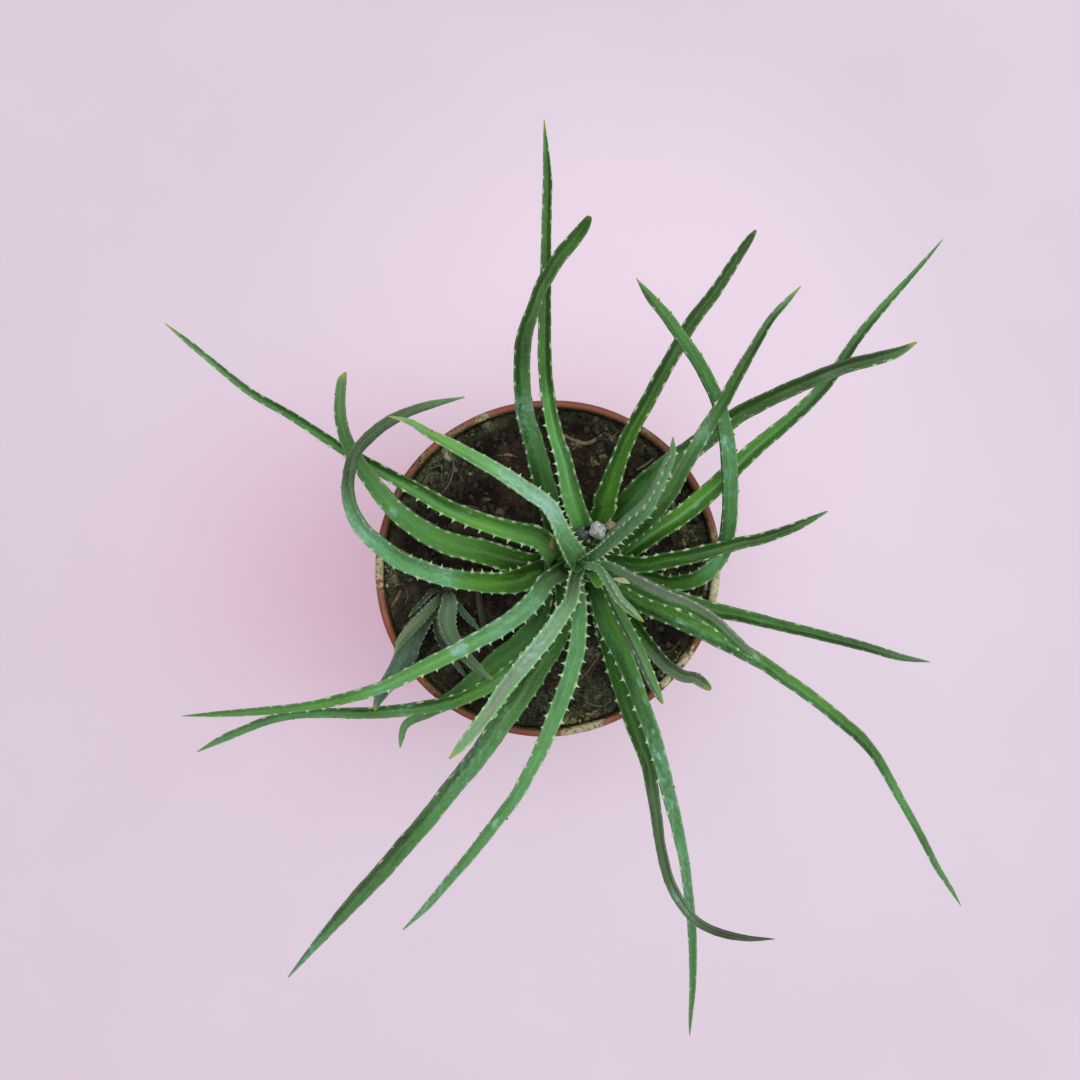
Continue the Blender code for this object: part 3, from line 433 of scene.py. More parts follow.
            (710, 551, .06), (760, 539, .14), (790, 529, .12),
            (810, 520, .3)],
        yellow=[(612, 562, .4), (700, 553, .6), (760, 539, .55),
            (790, 529, .4)],
        purple=[(680, 558, .05), (700, 553, .2), (790, 529, .45)],
        painted_half_shade=.12, rise=(70, 60), dash=(.8, 1), teeth=(4, 5.2), tip=.85),
    "leaf_14": dict(
        tone_and_shade=[(640, 586, .12), (690, 602, .25), (716, 610, .3),
            (816, 634, .22), (866, 647, .1), (900, 657, .5), (930, 662, .5)],
        yellow=[(640, 586, .6), (716, 610, .45), (866, 647, .2)],
        purple=[(747, 617, .05), (816, 634, .2), (866, 647, .6),
            (900, 657, .7)],
        fleck=.25, rise=(70, 50), dash=(.6, .9), tip=.8, teeth=(4.2, 5.4)),
    "leaf_15": dict(
        tone_and_shade=[(605, 580, .45), (638, 601, .38), (669, 615, .3),
            (700, 629, .5), (732, 646, .38), (763, 663, .5), (802, 690, .55),
            (824, 707, .6), (846, 725, .35), (875, 755, .4), (901, 800, .8),
            (925, 845, .5), (951, 889, .8)],
        yellow=[(605, 580, .2), (700, 630, .25), (802, 690, .05),
            (846, 725, .3), (901, 800, .05), (925, 845, .1)],
        halfyellow=[(620, 590, -.4), (700, 630, -.6), (802, 690, -.5),
            (889, 778, -.2)],
        wax_and_sheen=[(638, 601, 0), (680, 620, .25), (760, 662, .25), (810, 697, 0)],
        patch=[(682, 621, 18, .8, .1, .45), (747, 655, 12, .7, .2, .4),
            (757, 662, 8, .8, -.2, .3), (790, 684, 10, .5, .4, .3)],
        purple=[(783, 677, 0), (860, 737, .15), (901, 800, 0),
            (925, 845, .3)],
        fleck=[(763, 663, .2), (860, 737, .7), (950, 888, .6)],
        rise=(70, 74), dash=(.9, .9), tip=.7, teeth=(4.8, 6.2), tooth=1.3),
    "leaf_16": dict(
        tone_and_shade=[(604, 566, .3), (650, 590, .42), (713, 620, .55),
            (748, 651, .45), (761, 660, .7)],
        yellow=[(604, 566, .1), (690, 606, .25), (740, 643, .2)],
        halfpurple=[(604, 566, -.3), (640, 585, -.9), (713, 620, -.9),
            (755, 655, -.4)],
        roll=[(604, 566, 8), (638, 583, 14), (690, 606, 12), (761, 660, 6)],
        thick=[(604, 566, .4), (650, 590, .6), (761, 660, .62)],
        purple=[(604, 566, .1), (650, 590, .15), (713, 620, .15),
            (748, 651, .1)],
        tuck=1.7, hold=7, wide=1, flank=(.6, 1),
        # painted highlight: the patch near the tip paints a whitish gleam
        patch=[(757, 657, 12, .8, 0, 1)], rise=(12, 20), dash=(1, .9),
        teeth=(3.6, 4.4), fleck=.5, under=.85, tip=.8, sleeve=5.5, brown=0,
        painted_half_shade=-.42, deep=.12, cup=.1, chan=0),
    "leaf_17": dict(
        tone_and_shade=[(612, 600, .1), (630, 620, 0), (645, 641, .1), (657, 656, .45),
            (683, 676, .5), (711, 690, .4)],
        yellow=[(612, 600, .4), (660, 660, .25), (708, 688, .8)],
        purple=[(630, 620, 0), (645, 641, .2), (657, 656, .8), (695, 678, 1),
            (711, 690, .5)],
        rise=(60, 18), dash=(.5, .8), fleck=.4, tip=.5, tipmm=4, brown=.4,
        teeth=(3.6, 4.4)),
    "leaf_18": dict(
        tone_and_shade=[(602, 580, .35), (622, 620, .4), (631, 637, .55),
            (656, 692, .75), (663, 704, .8)],
        yellow=[(602, 580, .45), (631, 637, .3), (660, 700, .5)],
        purple=[(602, 580, 0), (622, 620, .2), (649, 676, .35)],
        halfpurple=[(602, 580, .3), (631, 637, .8), (656, 692, .7)],
        roll=[(602, 580, -5), (622, 620, -18), (663, 704, -25)],
        thick=[(602, 580, .35), (631, 637, .5), (663, 704, .55)],
        tuck=1.7, hold=7, rise=(76, 20), teeth=(3.4, 4), dash=(1, .8),
        under=.8, fleck=.3, tip=.8, sleeve=5.5),
    "leaf_19": dict(
        tone_and_shade=[(598, 568, .9), (611, 585, 1.1), (644, 622, 1.05)],
        yellow=[(598, 568, .15), (620, 599, .2), (642, 620, .9)],
        purple=[(598, 568, .2), (611, 585, .5), (632, 611, .55)],
        roll=[(598, 568, 10), (611, 585, 48), (644, 622, 55)],
        thick=[(598, 568, .5), (611, 585, .8), (644, 622, .85)],
        tuck=1.7, hold=7, teeth=(3, 3.4), tooth=.6, rise=(40, 60),
        dash=(.7, .9), flank=(.8, 1), wax_and_sheen=.15, under=.4, tip=1, tipmm=3,
        sleeve=5.5, wide=.8, deep=.1, painted_half_shade=0),
    "leaf_20": dict(
        tone_and_shade=[(590, 588, .1), (604, 633, .25), (617, 677, .22),
            (641, 745, .2), (653, 793, .45), (661, 847, .45), (669, 879, .6),
            (697, 921, .65), (719, 932, .3), (747, 938, .25)],
        yellow=[(590, 588, .6), (617, 677, .7), (641, 745, .45),
            (653, 793, .1), (661, 847, 0)],
        purple=[(629, 715, .1), (647, 770, .35), (661, 847, .8),
            (675, 890, .55), (697, 921, .75), (719, 932, 1), (770, 938, 1)],
        roll=[(590, 588, 0), (641, 745, 5), (669, 879, 25), (697, 921, 32),
            (775, 939, 38)],
        thick=[(641, 745, .3), (669, 879, .5), (775, 939, .62)],
        patch=[(683, 905, 50, .75, .2, .6)],
        fleck=[(620, 690, .1), (680, 900, .6), (750, 938, .7)],
        chan=[(600, 620, .1), (647, 770, .25), (657, 820, .1),
            (747, 938, 0)],
        dash=([(590, 588, 1), (653, 793, .8), (675, 890, .2), (747, 938, 0)],
            [(590, 588, 1), (653, 793, .8), (675, 890, .2), (747, 938, 0)]),
        edge=([(641, 745, .3), (661, 847, .05), (747, 938, 0)],
            [(641, 745, .3), (661, 847, .05), (747, 938, 0)]),
        rise=(50, 70), tip=.5, brown=.5, teeth=(4.4, 5.4), toothfade=.9),
    "leaf_21": dict(
        tone_and_shade=[(594, 585, .25), (602, 606, .42), (618, 645, .4),
            (642, 707, .42), (660, 760, .6), (675, 820, .62),
            (681, 845, .75), (690, 907, .9), (692, 934, .85), (693, 962, .7),
            (692, 990, .7), (690, 1018, .55)],
        yellow=[(594, 585, .25), (618, 645, .12), (642, 707, .25),
            (668, 793, .1), (692, 934, .05), (690, 1030, .3)],
        groove_shade=[(602, 606, -.2), (634, 684, -.35), (675, 820, -.25)],
        wax_and_sheen=[(602, 606, 0), (618, 645, .15), (640, 700, .1), (655, 745, .35),
            (681, 845, .3), (690, 907, .4), (692, 934, .25), (692, 990, .1)],
        patch=[(634, 683, 12, .9, -.5, .3), (648, 698, 16, .9, -.5, .35),
            (653, 733, 8, .9, -.2, .3), (657, 757, 10, .9, 0, .4),
            (676, 820, 16, .6, .2, .5)],
        purple=[(675, 820, 0), (690, 907, .25), (692, 990, .3)],
        halfyellow=[(594, 585, -.6), (618, 645, -.5), (634, 684, -.25),
            (650, 727, 0)],
        painted_half_shade=[(594, 585, -.15), (618, 645, -.3), (642, 707, -.3),
            (668, 793, -.1), (692, 934, 0)],
        rise=(20, 66), dash=(.8, 1), teeth=(5, 6.6), tip=.7, edge=(.3, .7),
        tooth=1.4),
    "leaf_22": dict(
        tone_and_shade=[(580, 600, .75), (579, 625, 1), (563, 694, .85),
            (553, 721, .95), (516, 796, .95), (474, 851, .9), (450, 879, 1),
            (427, 906, 1.1), (403, 930, .8)],
        yellow=[(580, 600, .15), (563, 694, .12), (474, 851, .15),
            (450, 879, .1)],
        groove_shade=[(580, 600, -.2), (563, 694, -.4), (516, 796, -.3)],
        wax_and_sheen=[(580, 605, .2), (579, 625, .3), (569, 680, .2), (553, 721, .25),
            (520, 790, .25), (474, 851, .15), (450, 879, .3),
            (427, 906, .4)],
        patch=[(495, 823, 16, .9, 0, .7), (573, 665, 14, .6, .4, .4)],
        purple=[(516, 796, 0), (474, 851, .15), (427, 906, .2)],
        rise=(8, 8), dash=(.9, .9), teeth=(3.8, 5.2), edge=(.5, .5), tip=.7,
        tooth=1.5, chan=.4),
    "leaf_23": dict(
        tone_and_shade=[(560, 632, .15), (543, 662, .25), (501, 724, .5),
            (451, 789, .55), (396, 856, .4), (334, 923, .5), (312, 949, .75),
            (288, 977, .6)],
        yellow=[(560, 632, .35), (501, 724, .2), (426, 821, .15),
            (365, 886, .12)],
        wax_and_sheen=[(523, 693, 0), (501, 724, .2), (475, 760, .3), (451, 789, .3),
            (426, 821, .15), (396, 856, .12), (352, 899, .15),
            (334, 923, .25), (300, 963, .35)],
        patch=[(508, 714, 20, .6, .3, .5), (495, 730, 14, .65, -.4, .4),
            (452, 788, 16, .5, .2, .5), (322, 936, 16, .5, 0, .8)],
        halfpurple=[(560, 632, .1), (501, 724, .35), (396, 856, .4)],
        purple=[(426, 821, 0), (380, 870, .2), (300, 963, .1)],
        rise=(70, 60), dash=(1, .6), teeth=(5, 6.4), brown=.5, tip=.5,
        fleck=.3),
    "leaf_24": dict(
        tone_and_shade=[(575, 578, .1), (571, 600, .55), (562, 614, .9), (538, 647, 1),
            (513, 678, .85), (490, 710, .8), (476, 728, .85),
            (449, 759, .6)],
        yellow=[(575, 578, .1), (525, 663, .3), (476, 728, .45)],
        purple=[(575, 578, .4), (565, 605, .1), (538, 647, .1),
            (513, 678, .2), (490, 710, .2), (462, 745, .2)],
        wax_and_sheen=[(575, 578, 0), (571, 600, .2), (550, 632, .32), (538, 647, .42),
            (513, 678, .28), (480, 722, .2), (455, 752, .05)],
        rise=([(575, 578, 30), (525, 663, 40)], [(575, 578, 8),
            (550, 632, 10), (502, 692, 40)]),
        mid=[(571, 600, .25), (550, 632, .65), (538, 647, .95),
            (513, 678, 1.25), (490, 710, 1.1), (470, 735, .5),
            (449, 759, .1)],
        tuck=1.7, hold=7, edge=(.9, .8), edgew=.55, dash=(1, .9),
        teeth=(3.4, 4.2), tip=.9, tipmm=5, sleeve=5.5, deep=.3, tooth=1.35,
        midx=.05, brown=0),
    "leaf_25": dict(
        tone_and_shade=[(547, 581, .35), (535, 598, .9), (500, 627, 1),
            (483, 637, .95), (453, 653, 1.1), (418, 670, .85),
            (380, 688, .95), (342, 699, .6), (307, 706, .7), (263, 711, .75),
            (219, 714, .75)],
        yellow=[(547, 581, .1), (500, 627, .15), (418, 670, .4),
            (380, 688, .15), (342, 699, .55), (219, 714, .5)],
        wax_and_sheen=[(547, 581, .1), (535, 598, .35), (518, 615, .35),
            (500, 627, .38), (478, 640, .25), (440, 660, .1), (400, 679, .1),
            (380, 688, .3), (360, 694, 0)],
        patch=[(461, 651, 22, 1, .1, .95), (522, 611, 12, .5, .3, .4),
            (437, 662, 10, .5, -.3, .4)],
        purple=[(547, 581, .3), (530, 603, .05), (342, 699, .05),
            (263, 711, .25)],
        rise=(74, 8), dash=(1, .9), tip=.8, teeth=(4.4, 5.4), tooth=1.4,
        brown=.05),
    "leaf_26": dict(
        tone_and_shade=[(552, 622, .1), (523, 660, .4), (501, 678, .75),
            (478, 691, .5), (453, 701, .35), (395, 711, .4), (365, 713, .35),
            (324, 713, .65), (266, 721, .6), (249, 727, .7), (222, 739, .8)],
        yellow=[(552, 622, .4), (501, 678, .4), (478, 691, .75),
            (424, 707, .35), (324, 713, .1), (249, 727, .1)],
        wax_and_sheen=[(440, 705, 0), (410, 710, .3), (365, 713, .15), (324, 713, 0)],
        purple=[(365, 713, .1), (266, 721, .2), (197, 752, .3)],
        patch=[(404, 710, 18, .6, 0, .7)], rise=(74, 70), dash=(1.1, .6),
        fleck=.3, tip=.7, teeth=(4.6, 5.4)),
    "leaf_27": dict(
        tone_and_shade=[(545, 612, .28), (524, 642, .58), (498, 662, .63),
            (478, 680, .88), (455, 697, .68), (430, 711, .93),
            (413, 719, 1.18), (401, 737, 1.18)],
        yellow=[(545, 612, .35), (498, 662, .5), (455, 697, .3),
            (413, 719, .2)],
        purple=[(478, 680, .05), (413, 719, .45)],
        rise=(70, 70), dash=(.6, .6), brown=.4, tip=.6, teeth=(4, 4.8)),
    "leaf_heart": dict(
        tone_and_shade=.55, yellow=1, edge=(.3, .9), rise=(30, 30), dash=(.3, .9),
        teeth=(2.1, 2.3), tooth=.5, tip=0, tipmm=1.5, sleeve=4, burn=0,
        brown=0, purple=0),
    "pup_leaf_1": dict(
        tone_and_shade=[(434, 606, .3), (413, 635, .5), (396, 672, .55),
            (375, 711, .6)],
        yellow=.05, purple=.1, rise=(40, 40), dash=(.3, .5),
        teeth=(2.8, 3.4), tooth=.6, tip=.8, wax_and_sheen=.25, painted_half_shade=.1),
    "pup_leaf_2": dict(
        halfpurple=[(434, 604, .8), (411, 629, .7), (395, 653, .5)],
        tone_and_shade=.65, yellow=.55, teeth=(2.2, 2.6), tooth=.5, rise=(30, 40),
        dash=(.4, .3), tip=.5, wide=1.15, edge=(.5, .1)),
    "pup_leaf_3": dict(
        tone_and_shade=[(449, 604, .85), (448, 631, 1.1), (466, 657, .9),
            (493, 680, .75)],
        yellow=[(449, 604, .2), (480, 671, .4), (493, 680, .5)],
        purple=[(449, 604, .25), (448, 625, .1), (466, 657, 0)],
        halfpurple=[(449, 604, .1), (446, 618, .2), (456, 645, .1)],
        roll=[(449, 604, 0), (448, 631, -22), (493, 680, -25)],
        thick=[(449, 604, .6), (448, 631, .75), (493, 680, .7)],
        tuck=3.2, hold=6.5, deep=.05, teeth=(2.2, 2.8), tooth=.5,
        rise=(60, 30), dash=(.6, .6), brown=.6, tip=1, tipmm=3, fleck=.4,
        wide=1.1, under=.4, wax_and_sheen=.2),
    "pup_leaf_4": dict(
        tone_and_shade=.55, yellow=.15, wax_and_sheen=.1, teeth=(2.2, 2.6), tooth=.4,
        rise=(40, 40), dash=(.4, .4), tip=.6),
    "pup_leaf_5": dict(
        tone_and_shade=.1, yellow=.2, teeth=(2.2, 2.6), tooth=.4, rise=(40, 40),
        dash=(.4, .4), tip=.6, purple=.5),
    "pup_leaf_6": dict(
        tone_and_shade=[(437, 618, .2), (445, 640, 0), (469, 681, .6)],
        yellow=.2, purple=.35, teeth=(2.2, 2.8), tooth=.5, rise=(40, 40),
        dash=(.4, .4), tip=.5, burn=.6),
}


# ---------------------------------------------------------------- materials
class Nodes:
    """Short hand for a material's node tree."""

    def __init__(self, name, preview):
        self.mat = bpy.data.materials.new(name)
        self.mat.use_nodes = True
        self.mat.diffuse_color = (*preview, 1.0)
        self.tree = self.mat.node_tree
        self.bsdf = self.tree.nodes["Principled BSDF"]
        self.out = self.tree.nodes["Material Output"]

    def new(self, kind, **values):
        n = self.tree.nodes.new(kind)
        for k, v in values.items():
            setattr(n, k, v)
        return n

    def link(self, a, b):
        self.tree.links.new(a, b)

    def attr(self, name, vector=False):
        n = self.new("ShaderNodeAttribute", attribute_name=name)
        return n.outputs["Vector"] if vector else n.outputs["Fac"]

    def coord(self):
        return self.new("ShaderNodeTexCoord").outputs["Object"]

    def scaled(self, source, scale):
        n = self.new("ShaderNodeMapping")
        n.inputs["Scale"].default_value = scale
        self.link(source, n.inputs["Vector"])
        return n.outputs["Vector"]

    def noise(self, source, scale, detail=3.0, rough=0.55, distort=0.0,
              colour=False):
        n = self.new("ShaderNodeTexNoise")
        n.inputs["Scale"].default_value = scale
        n.inputs["Detail"].default_value = detail
        n.inputs["Roughness"].default_value = rough
        n.inputs["Distortion"].default_value = distort
        self.link(source, n.inputs["Vector"])
        return n.outputs["Color" if colour else "Fac"]

    def voronoi(self, source, scale, feature='F1', rand=1.0,
                output="Distance"):
        n = self.new("ShaderNodeTexVoronoi", feature=feature)
        n.inputs["Scale"].default_value = scale
        n.inputs["Randomness"].default_value = rand
        self.link(source, n.inputs["Vector"])
        return n.outputs[output]

    def math(self, op, a, b=None, clamp=False, c=None):
        n = self.new("ShaderNodeMath", operation=op, use_clamp=clamp)
        for i, x in enumerate((a, b, c)):
            if x is None:
                continue
            if isinstance(x, (int, float)):
                n.inputs[i].default_value = x
            else:
                self.link(x, n.inputs[i])
        return n.outputs[0]

    def ramp(self, x, lo, hi, to_lo=0.0, to_hi=1.0, smooth=True):
        n = self.new("ShaderNodeMapRange",
                     interpolation_type='SMOOTHSTEP' if smooth else 'LINEAR')
        self.link(x, n.inputs["Value"])
        n.inputs["From Min"].default_value = lo
        n.inputs["From Max"].default_value = hi
        n.inputs["To Min"].default_value = to_lo
        n.inputs["To Max"].default_value = to_hi
        return n.outputs["Result"]

    def mix(self, fac, a, b, mode='MIX'):
        n = self.new("ShaderNodeMix", data_type='RGBA', blend_type=mode)
        for i, x in ((0, fac), (6, a), (7, b)):
            if isinstance(x, (int, float)):
                n.inputs[i].default_value = x
            elif isinstance(x, tuple):
                n.inputs[i].default_value = (*x, 1.0)
            else:
                self.link(x, n.inputs[i])
        return n.outputs[2]

    def colour(self, x):
        self.link(x, self.bsdf.inputs["Base Color"])

    def rough(self, x):
        self.link(x, self.bsdf.inputs["Roughness"])

    def bump(self, height, strength, distance, normal=None):
        n = self.new("ShaderNodeBump")
        n.inputs["Strength"].default_value = strength
        n.inputs["Distance"].default_value = distance
        self.link(height, n.inputs["Height"])
        if normal is not None:
            self.link(normal, n.inputs["Normal"])
        self.link(n.outputs["Normal"], self.bsdf.inputs["Normal"])
        return n.outputs["Normal"]


def srgb(r, g, b):
    """Linear colour from 0..255 screen values."""
    return tuple(((c / 255 + 0.055) / 1.055) ** 2.4 if c > 10.3
                 else c / 255 / 12.92 for c in (r, g, b))


def leaf_material(name, dark, light, yellow, purple, wax_and_sheen, dull=0.0):
    """Leaf skin, steered along and across each leaf by the mesh's own values:
    tone, yellow, purple, wax, chan, edge, tooth, tip, fleck, worn, shade.
    Tone holds painted light and shade as well as the leaf's own lightness; the
    wax values also paint some highlights; shade is painted shade at the base.
    yellow and purple are pairs, dark and light."""
    n = Nodes(name, light)
    grain = n.attr("grain", vector=True)
    along = n.scaled(grain, (1.0, 0.16, 1.0))
    streak = n.noise(n.scaled(grain, (1.0, 0.05, 1.0)), 2.2, 3.0, 0.62)
    blotch = n.noise(along, 0.42, 3.0, 0.6)
    mottle = n.noise(n.scaled(grain, (1.0, 0.55, 1.0)), 1.7, 4.0, 0.65)
    fine = n.noise(n.scaled(grain, (1.0, 0.7, 1.0)), 5.5, 2.0, 0.6)
    # painted light and shade: the tone values say where a leaf lies lit or
    # shaded, as well as its own lightness
    tone_and_shade = n.math('ADD', n.attr("tone_and_shade"),
                  n.math('MULTIPLY', n.math('SUBTRACT', blotch, 0.5), 0.8))
    tone_and_shade = n.math('ADD', tone_and_shade,
                  n.math('MULTIPLY', n.math('SUBTRACT', streak, 0.5), 0.42))
    tone_and_shade = n.math('ADD', tone_and_shade,
                  n.math('MULTIPLY', n.math('SUBTRACT', mottle, 0.5), 0.75),
                  clamp=True)
    colour = n.mix(tone_and_shade, dark, light)
    yel = n.math('MULTIPLY', n.attr("yellow"),
                 n.ramp(blotch, 0.25, 0.75, 0.7, 1.25), clamp=True)
    colour = n.mix(yel, colour, n.mix(tone_and_shade, *yellow))
    pur = n.math('MULTIPLY', n.attr("purple"),
                 n.ramp(mottle, 0.3, 0.7, 0.75, 1.15), clamp=True)
    colour = n.mix(pur, colour, n.mix(tone_and_shade, *purple))
    # the waxy bloom, together with painted highlights, lies in patches with
    # ragged ends
    rag = n.noise(n.scaled(grain, (1.0, 0.45, 1.0)), 0.9, 4.0, 0.7)
    bloom_and_sheen = n.math('ADD', n.attr("wax_and_sheen"),
                   n.math('MULTIPLY', n.math('SUBTRACT', rag, 0.5), 1.3))
    bloom_and_sheen = n.math('MULTIPLY', n.ramp(bloom_and_sheen, 0.20, 0.62, 0.0, 0.9),
                   n.ramp(n.attr("wax_and_sheen"), 0.02, 0.5, 0.0, 1.0, smooth=False))
    bloom_and_sheen = n.math('MULTIPLY', bloom_and_sheen, n.ramp(streak, 0.3, 0.6, 0.6, 1.1),
                   clamp=True)
    colour = n.mix(bloom_and_sheen, colour, wax_and_sheen)
    # a paler line down the channel, and dull speckling all over
    colour = n.mix(n.math('MULTIPLY', n.attr("chan"), 0.55, clamp=True),
                   colour, tuple(min(1.0, c * 1.5 + 0.03) for c in light))
    colour = n.mix(n.ramp(fine, 0.46, 0.74, 0.0, 0.34), colour,
                   tuple(c * 0.6 for c in dark))
    # a fine pale stipple of wax where the skin is light
    stipple = n.noise(n.scaled(grain, (1.0, 0.85, 1.0)), 3.6, 2.0, 0.6)
    stipple = n.math('MULTIPLY', n.ramp(stipple, 0.57, 0.71, 0.0, 0.34), tone_and_shade,
                     clamp=True)
    colour = n.mix(stipple, colour, wax_and_sheen)
    # small pale flecks, some strong, most faint
    v = n.new("ShaderNodeTexVoronoi", feature='F1')
    v.inputs["Scale"].default_value = 0.62
    n.link(n.scaled(grain, (1.0, 0.6, 1.0)), v.inputs["Vector"])
    lucky = n.new("ShaderNodeSeparateColor")
    n.link(v.outputs["Color"], lucky.inputs[0])
    dot = n.math('MULTIPLY', n.ramp(v.outputs["Distance"], 0.08, 0.24, 1., 0.),
                 n.ramp(lucky.outputs[0], 0.45, 0.95))
    dot = n.math('MULTIPLY', dot, n.attr("fleck"), clamp=True)
    colour = n.mix(dot, colour, srgb(186, 214, 186))
    # margin, tooth bases and teeth
    colour = n.mix(n.math('MULTIPLY', n.attr("edge"), 0.55, clamp=True),
                   colour, tuple(min(1.0, c * 1.25 + 0.05) for c in light))
    horn = n.math('ADD', n.attr("tooth"),
                  n.math('MULTIPLY', n.math('SUBTRACT', fine, 0.5), 0.35))
    horn = n.ramp(horn, 0.20, 0.80, 0.0, 0.92)
    colour = n.mix(horn, colour, srgb(196, 216, 176))
    # painted shade, darkening the bases where they crowd together
    colour = n.mix(n.math('MULTIPLY', n.attr("shade"), 0.6), colour,
                   srgb(40, 44, 22))
    # old scars, tooth points and the leaf's own point
    colour = n.mix(n.ramp(n.attr("worn"), 0.15, 0.7), colour,
                   srgb(112, 84, 52))
    colour = n.mix(n.attr("tip"), colour, srgb(160, 176, 66))
    colour = n.mix(n.attr("burn"), colour, srgb(128, 84, 52))
    n.colour(colour)
    r = n.ramp(mottle, 0.2, 0.8, 0.38 + dull, 0.52 + dull)
    r = n.math('ADD', r, n.math('MULTIPLY', bloom_and_sheen, 0.14), clamp=True)
    r = n.math('ADD', r, n.math('MULTIPLY', pur, 0.10), clamp=True)
    n.rough(r)
    b = n.bsdf.inputs
    b["IOR"].default_value = 1.42
    b["Specular IOR Level"].default_value = 0.36
    b["Subsurface Weight"].default_value = 0.10
    b["Subsurface Radius"].default_value = (0.5, 1.0, 0.25)
    b["Subsurface Scale"].default_value = 0.0012
    h = n.math('ADD', n.math('MULTIPLY', streak, 0.35),
               n.math('MULTIPLY', fine, 0.45))
    h = n.math('ADD', h, n.math('MULTIPLY', mottle, 0.5))
    h = n.math('ADD', h, n.math('MULTIPLY', blotch, 0.6))
    n.bump(h, 0.32, 0.00028)
    return n.mat


def soil_material():
    n = Nodes("m_soil", (0.02, 0.017, 0.012))
    c = n.coord()
    big = n.noise(c, 70.0, 4.0, 0.65)
    small = n.noise(c, 420.0, 5.0, 0.7)
    grit = n.noise(c, 1500.0, 3.0, 0.6)
    mid = n.noise(c, 190.0, 3.0, 0.6)
    colour = n.mix(n.ramp(big, 0.38, 0.64), srgb(17, 14, 12),
                   srgb(56, 46, 35))
    colour = n.mix(n.ramp(mid, 0.52, 0.70, 0.0, 0.65), colour,
                   srgb(82, 80, 56))
    colour = n.mix(n.ramp(mid, 0.28, 0.43, 0.85, 0.0), colour,
                   srgb(10, 8, 7))
    colour = n.mix(n.ramp(small, 0.54, 0.78, 0.0, 0.55), colour,
                   srgb(88, 78, 60))
    colour = n.mix(n.ramp(small, 0.24, 0.44, 0.9, 0.0), colour,
                   srgb(12, 10, 8))
    rust = n.math('MULTIPLY', n.attr("rust"), n.ramp(small, 0.36, 0.58),
                  clamp=True)
    colour = n.mix(n.math('MULTIPLY', rust, 0.55), colour,
                   n.mix(n.ramp(grit, 0.3, 0.7), srgb(54, 32, 24),
                         srgb(104, 70, 50)))
    moss = n.math('MULTIPLY', n.attr("moss"), n.ramp(small, 0.36, 0.56),
                  clamp=True)
    colour = n.mix(n.math('MULTIPLY', moss, 0.9), colour,
                   n.mix(n.ramp(grit, 0.35, 0.7), srgb(54, 62, 42),
                         srgb(130, 138, 104)))
    pale = n.math('MULTIPLY', n.attr("pale"), n.ramp(small, 0.34, 0.52),
                  clamp=True)
    colour = n.mix(pale, colour, n.mix(n.ramp(grit, 0.3, 0.7),
                                       srgb(128, 112, 84),
                                       srgb(196, 184, 152)))
    colour = n.mix(n.ramp(grit, 0.64, 0.82, 0.0, 0.4), colour,
                   srgb(118, 110, 90))
    n.colour(colour)
    n.rough(n.ramp(grit, 0.3, 0.7, 0.82, 1.0))
    n.bsdf.inputs["Specular IOR Level"].default_value = 0.25
    h = n.math('ADD', n.math('MULTIPLY', small, 1.0),
               n.math('MULTIPLY', grit, 0.45))
    n.bump(h, 0.8, 0.0009)
    return n.mat


def flat_material(name, a, b, scale, rough, detail=4.0, bump=0.4,
                  distance=0.0003, dark=None, attr=None, specular=0.4):
    """Two mottled tones, with an optional third tone in the hollows."""
    n = Nodes(name, a)
    c = n.coord()
    f = n.noise(c, scale, detail, 0.65)
    g = n.noise(c, scale * 4.3, 3.0, 0.65)
    colour = n.mix(n.ramp(f, 0.32, 0.68), a, b)
    if attr:
        colour = n.mix(n.attr(attr[0]), colour, attr[1])
    if dark:
        colour = n.mix(n.ramp(g, 0.30, 0.52, 0.85, 0.0), colour, dark)
    n.colour(colour)
    n.rough(n.ramp(g, 0.3, 0.7, rough - 0.06, min(1.0, rough + 0.08)))
    n.bsdf.inputs["Specular IOR Level"].default_value = specular
    n.bump(n.math('ADD', f, n.math('MULTIPLY', g, 0.5)), bump, distance)
    return n.mat


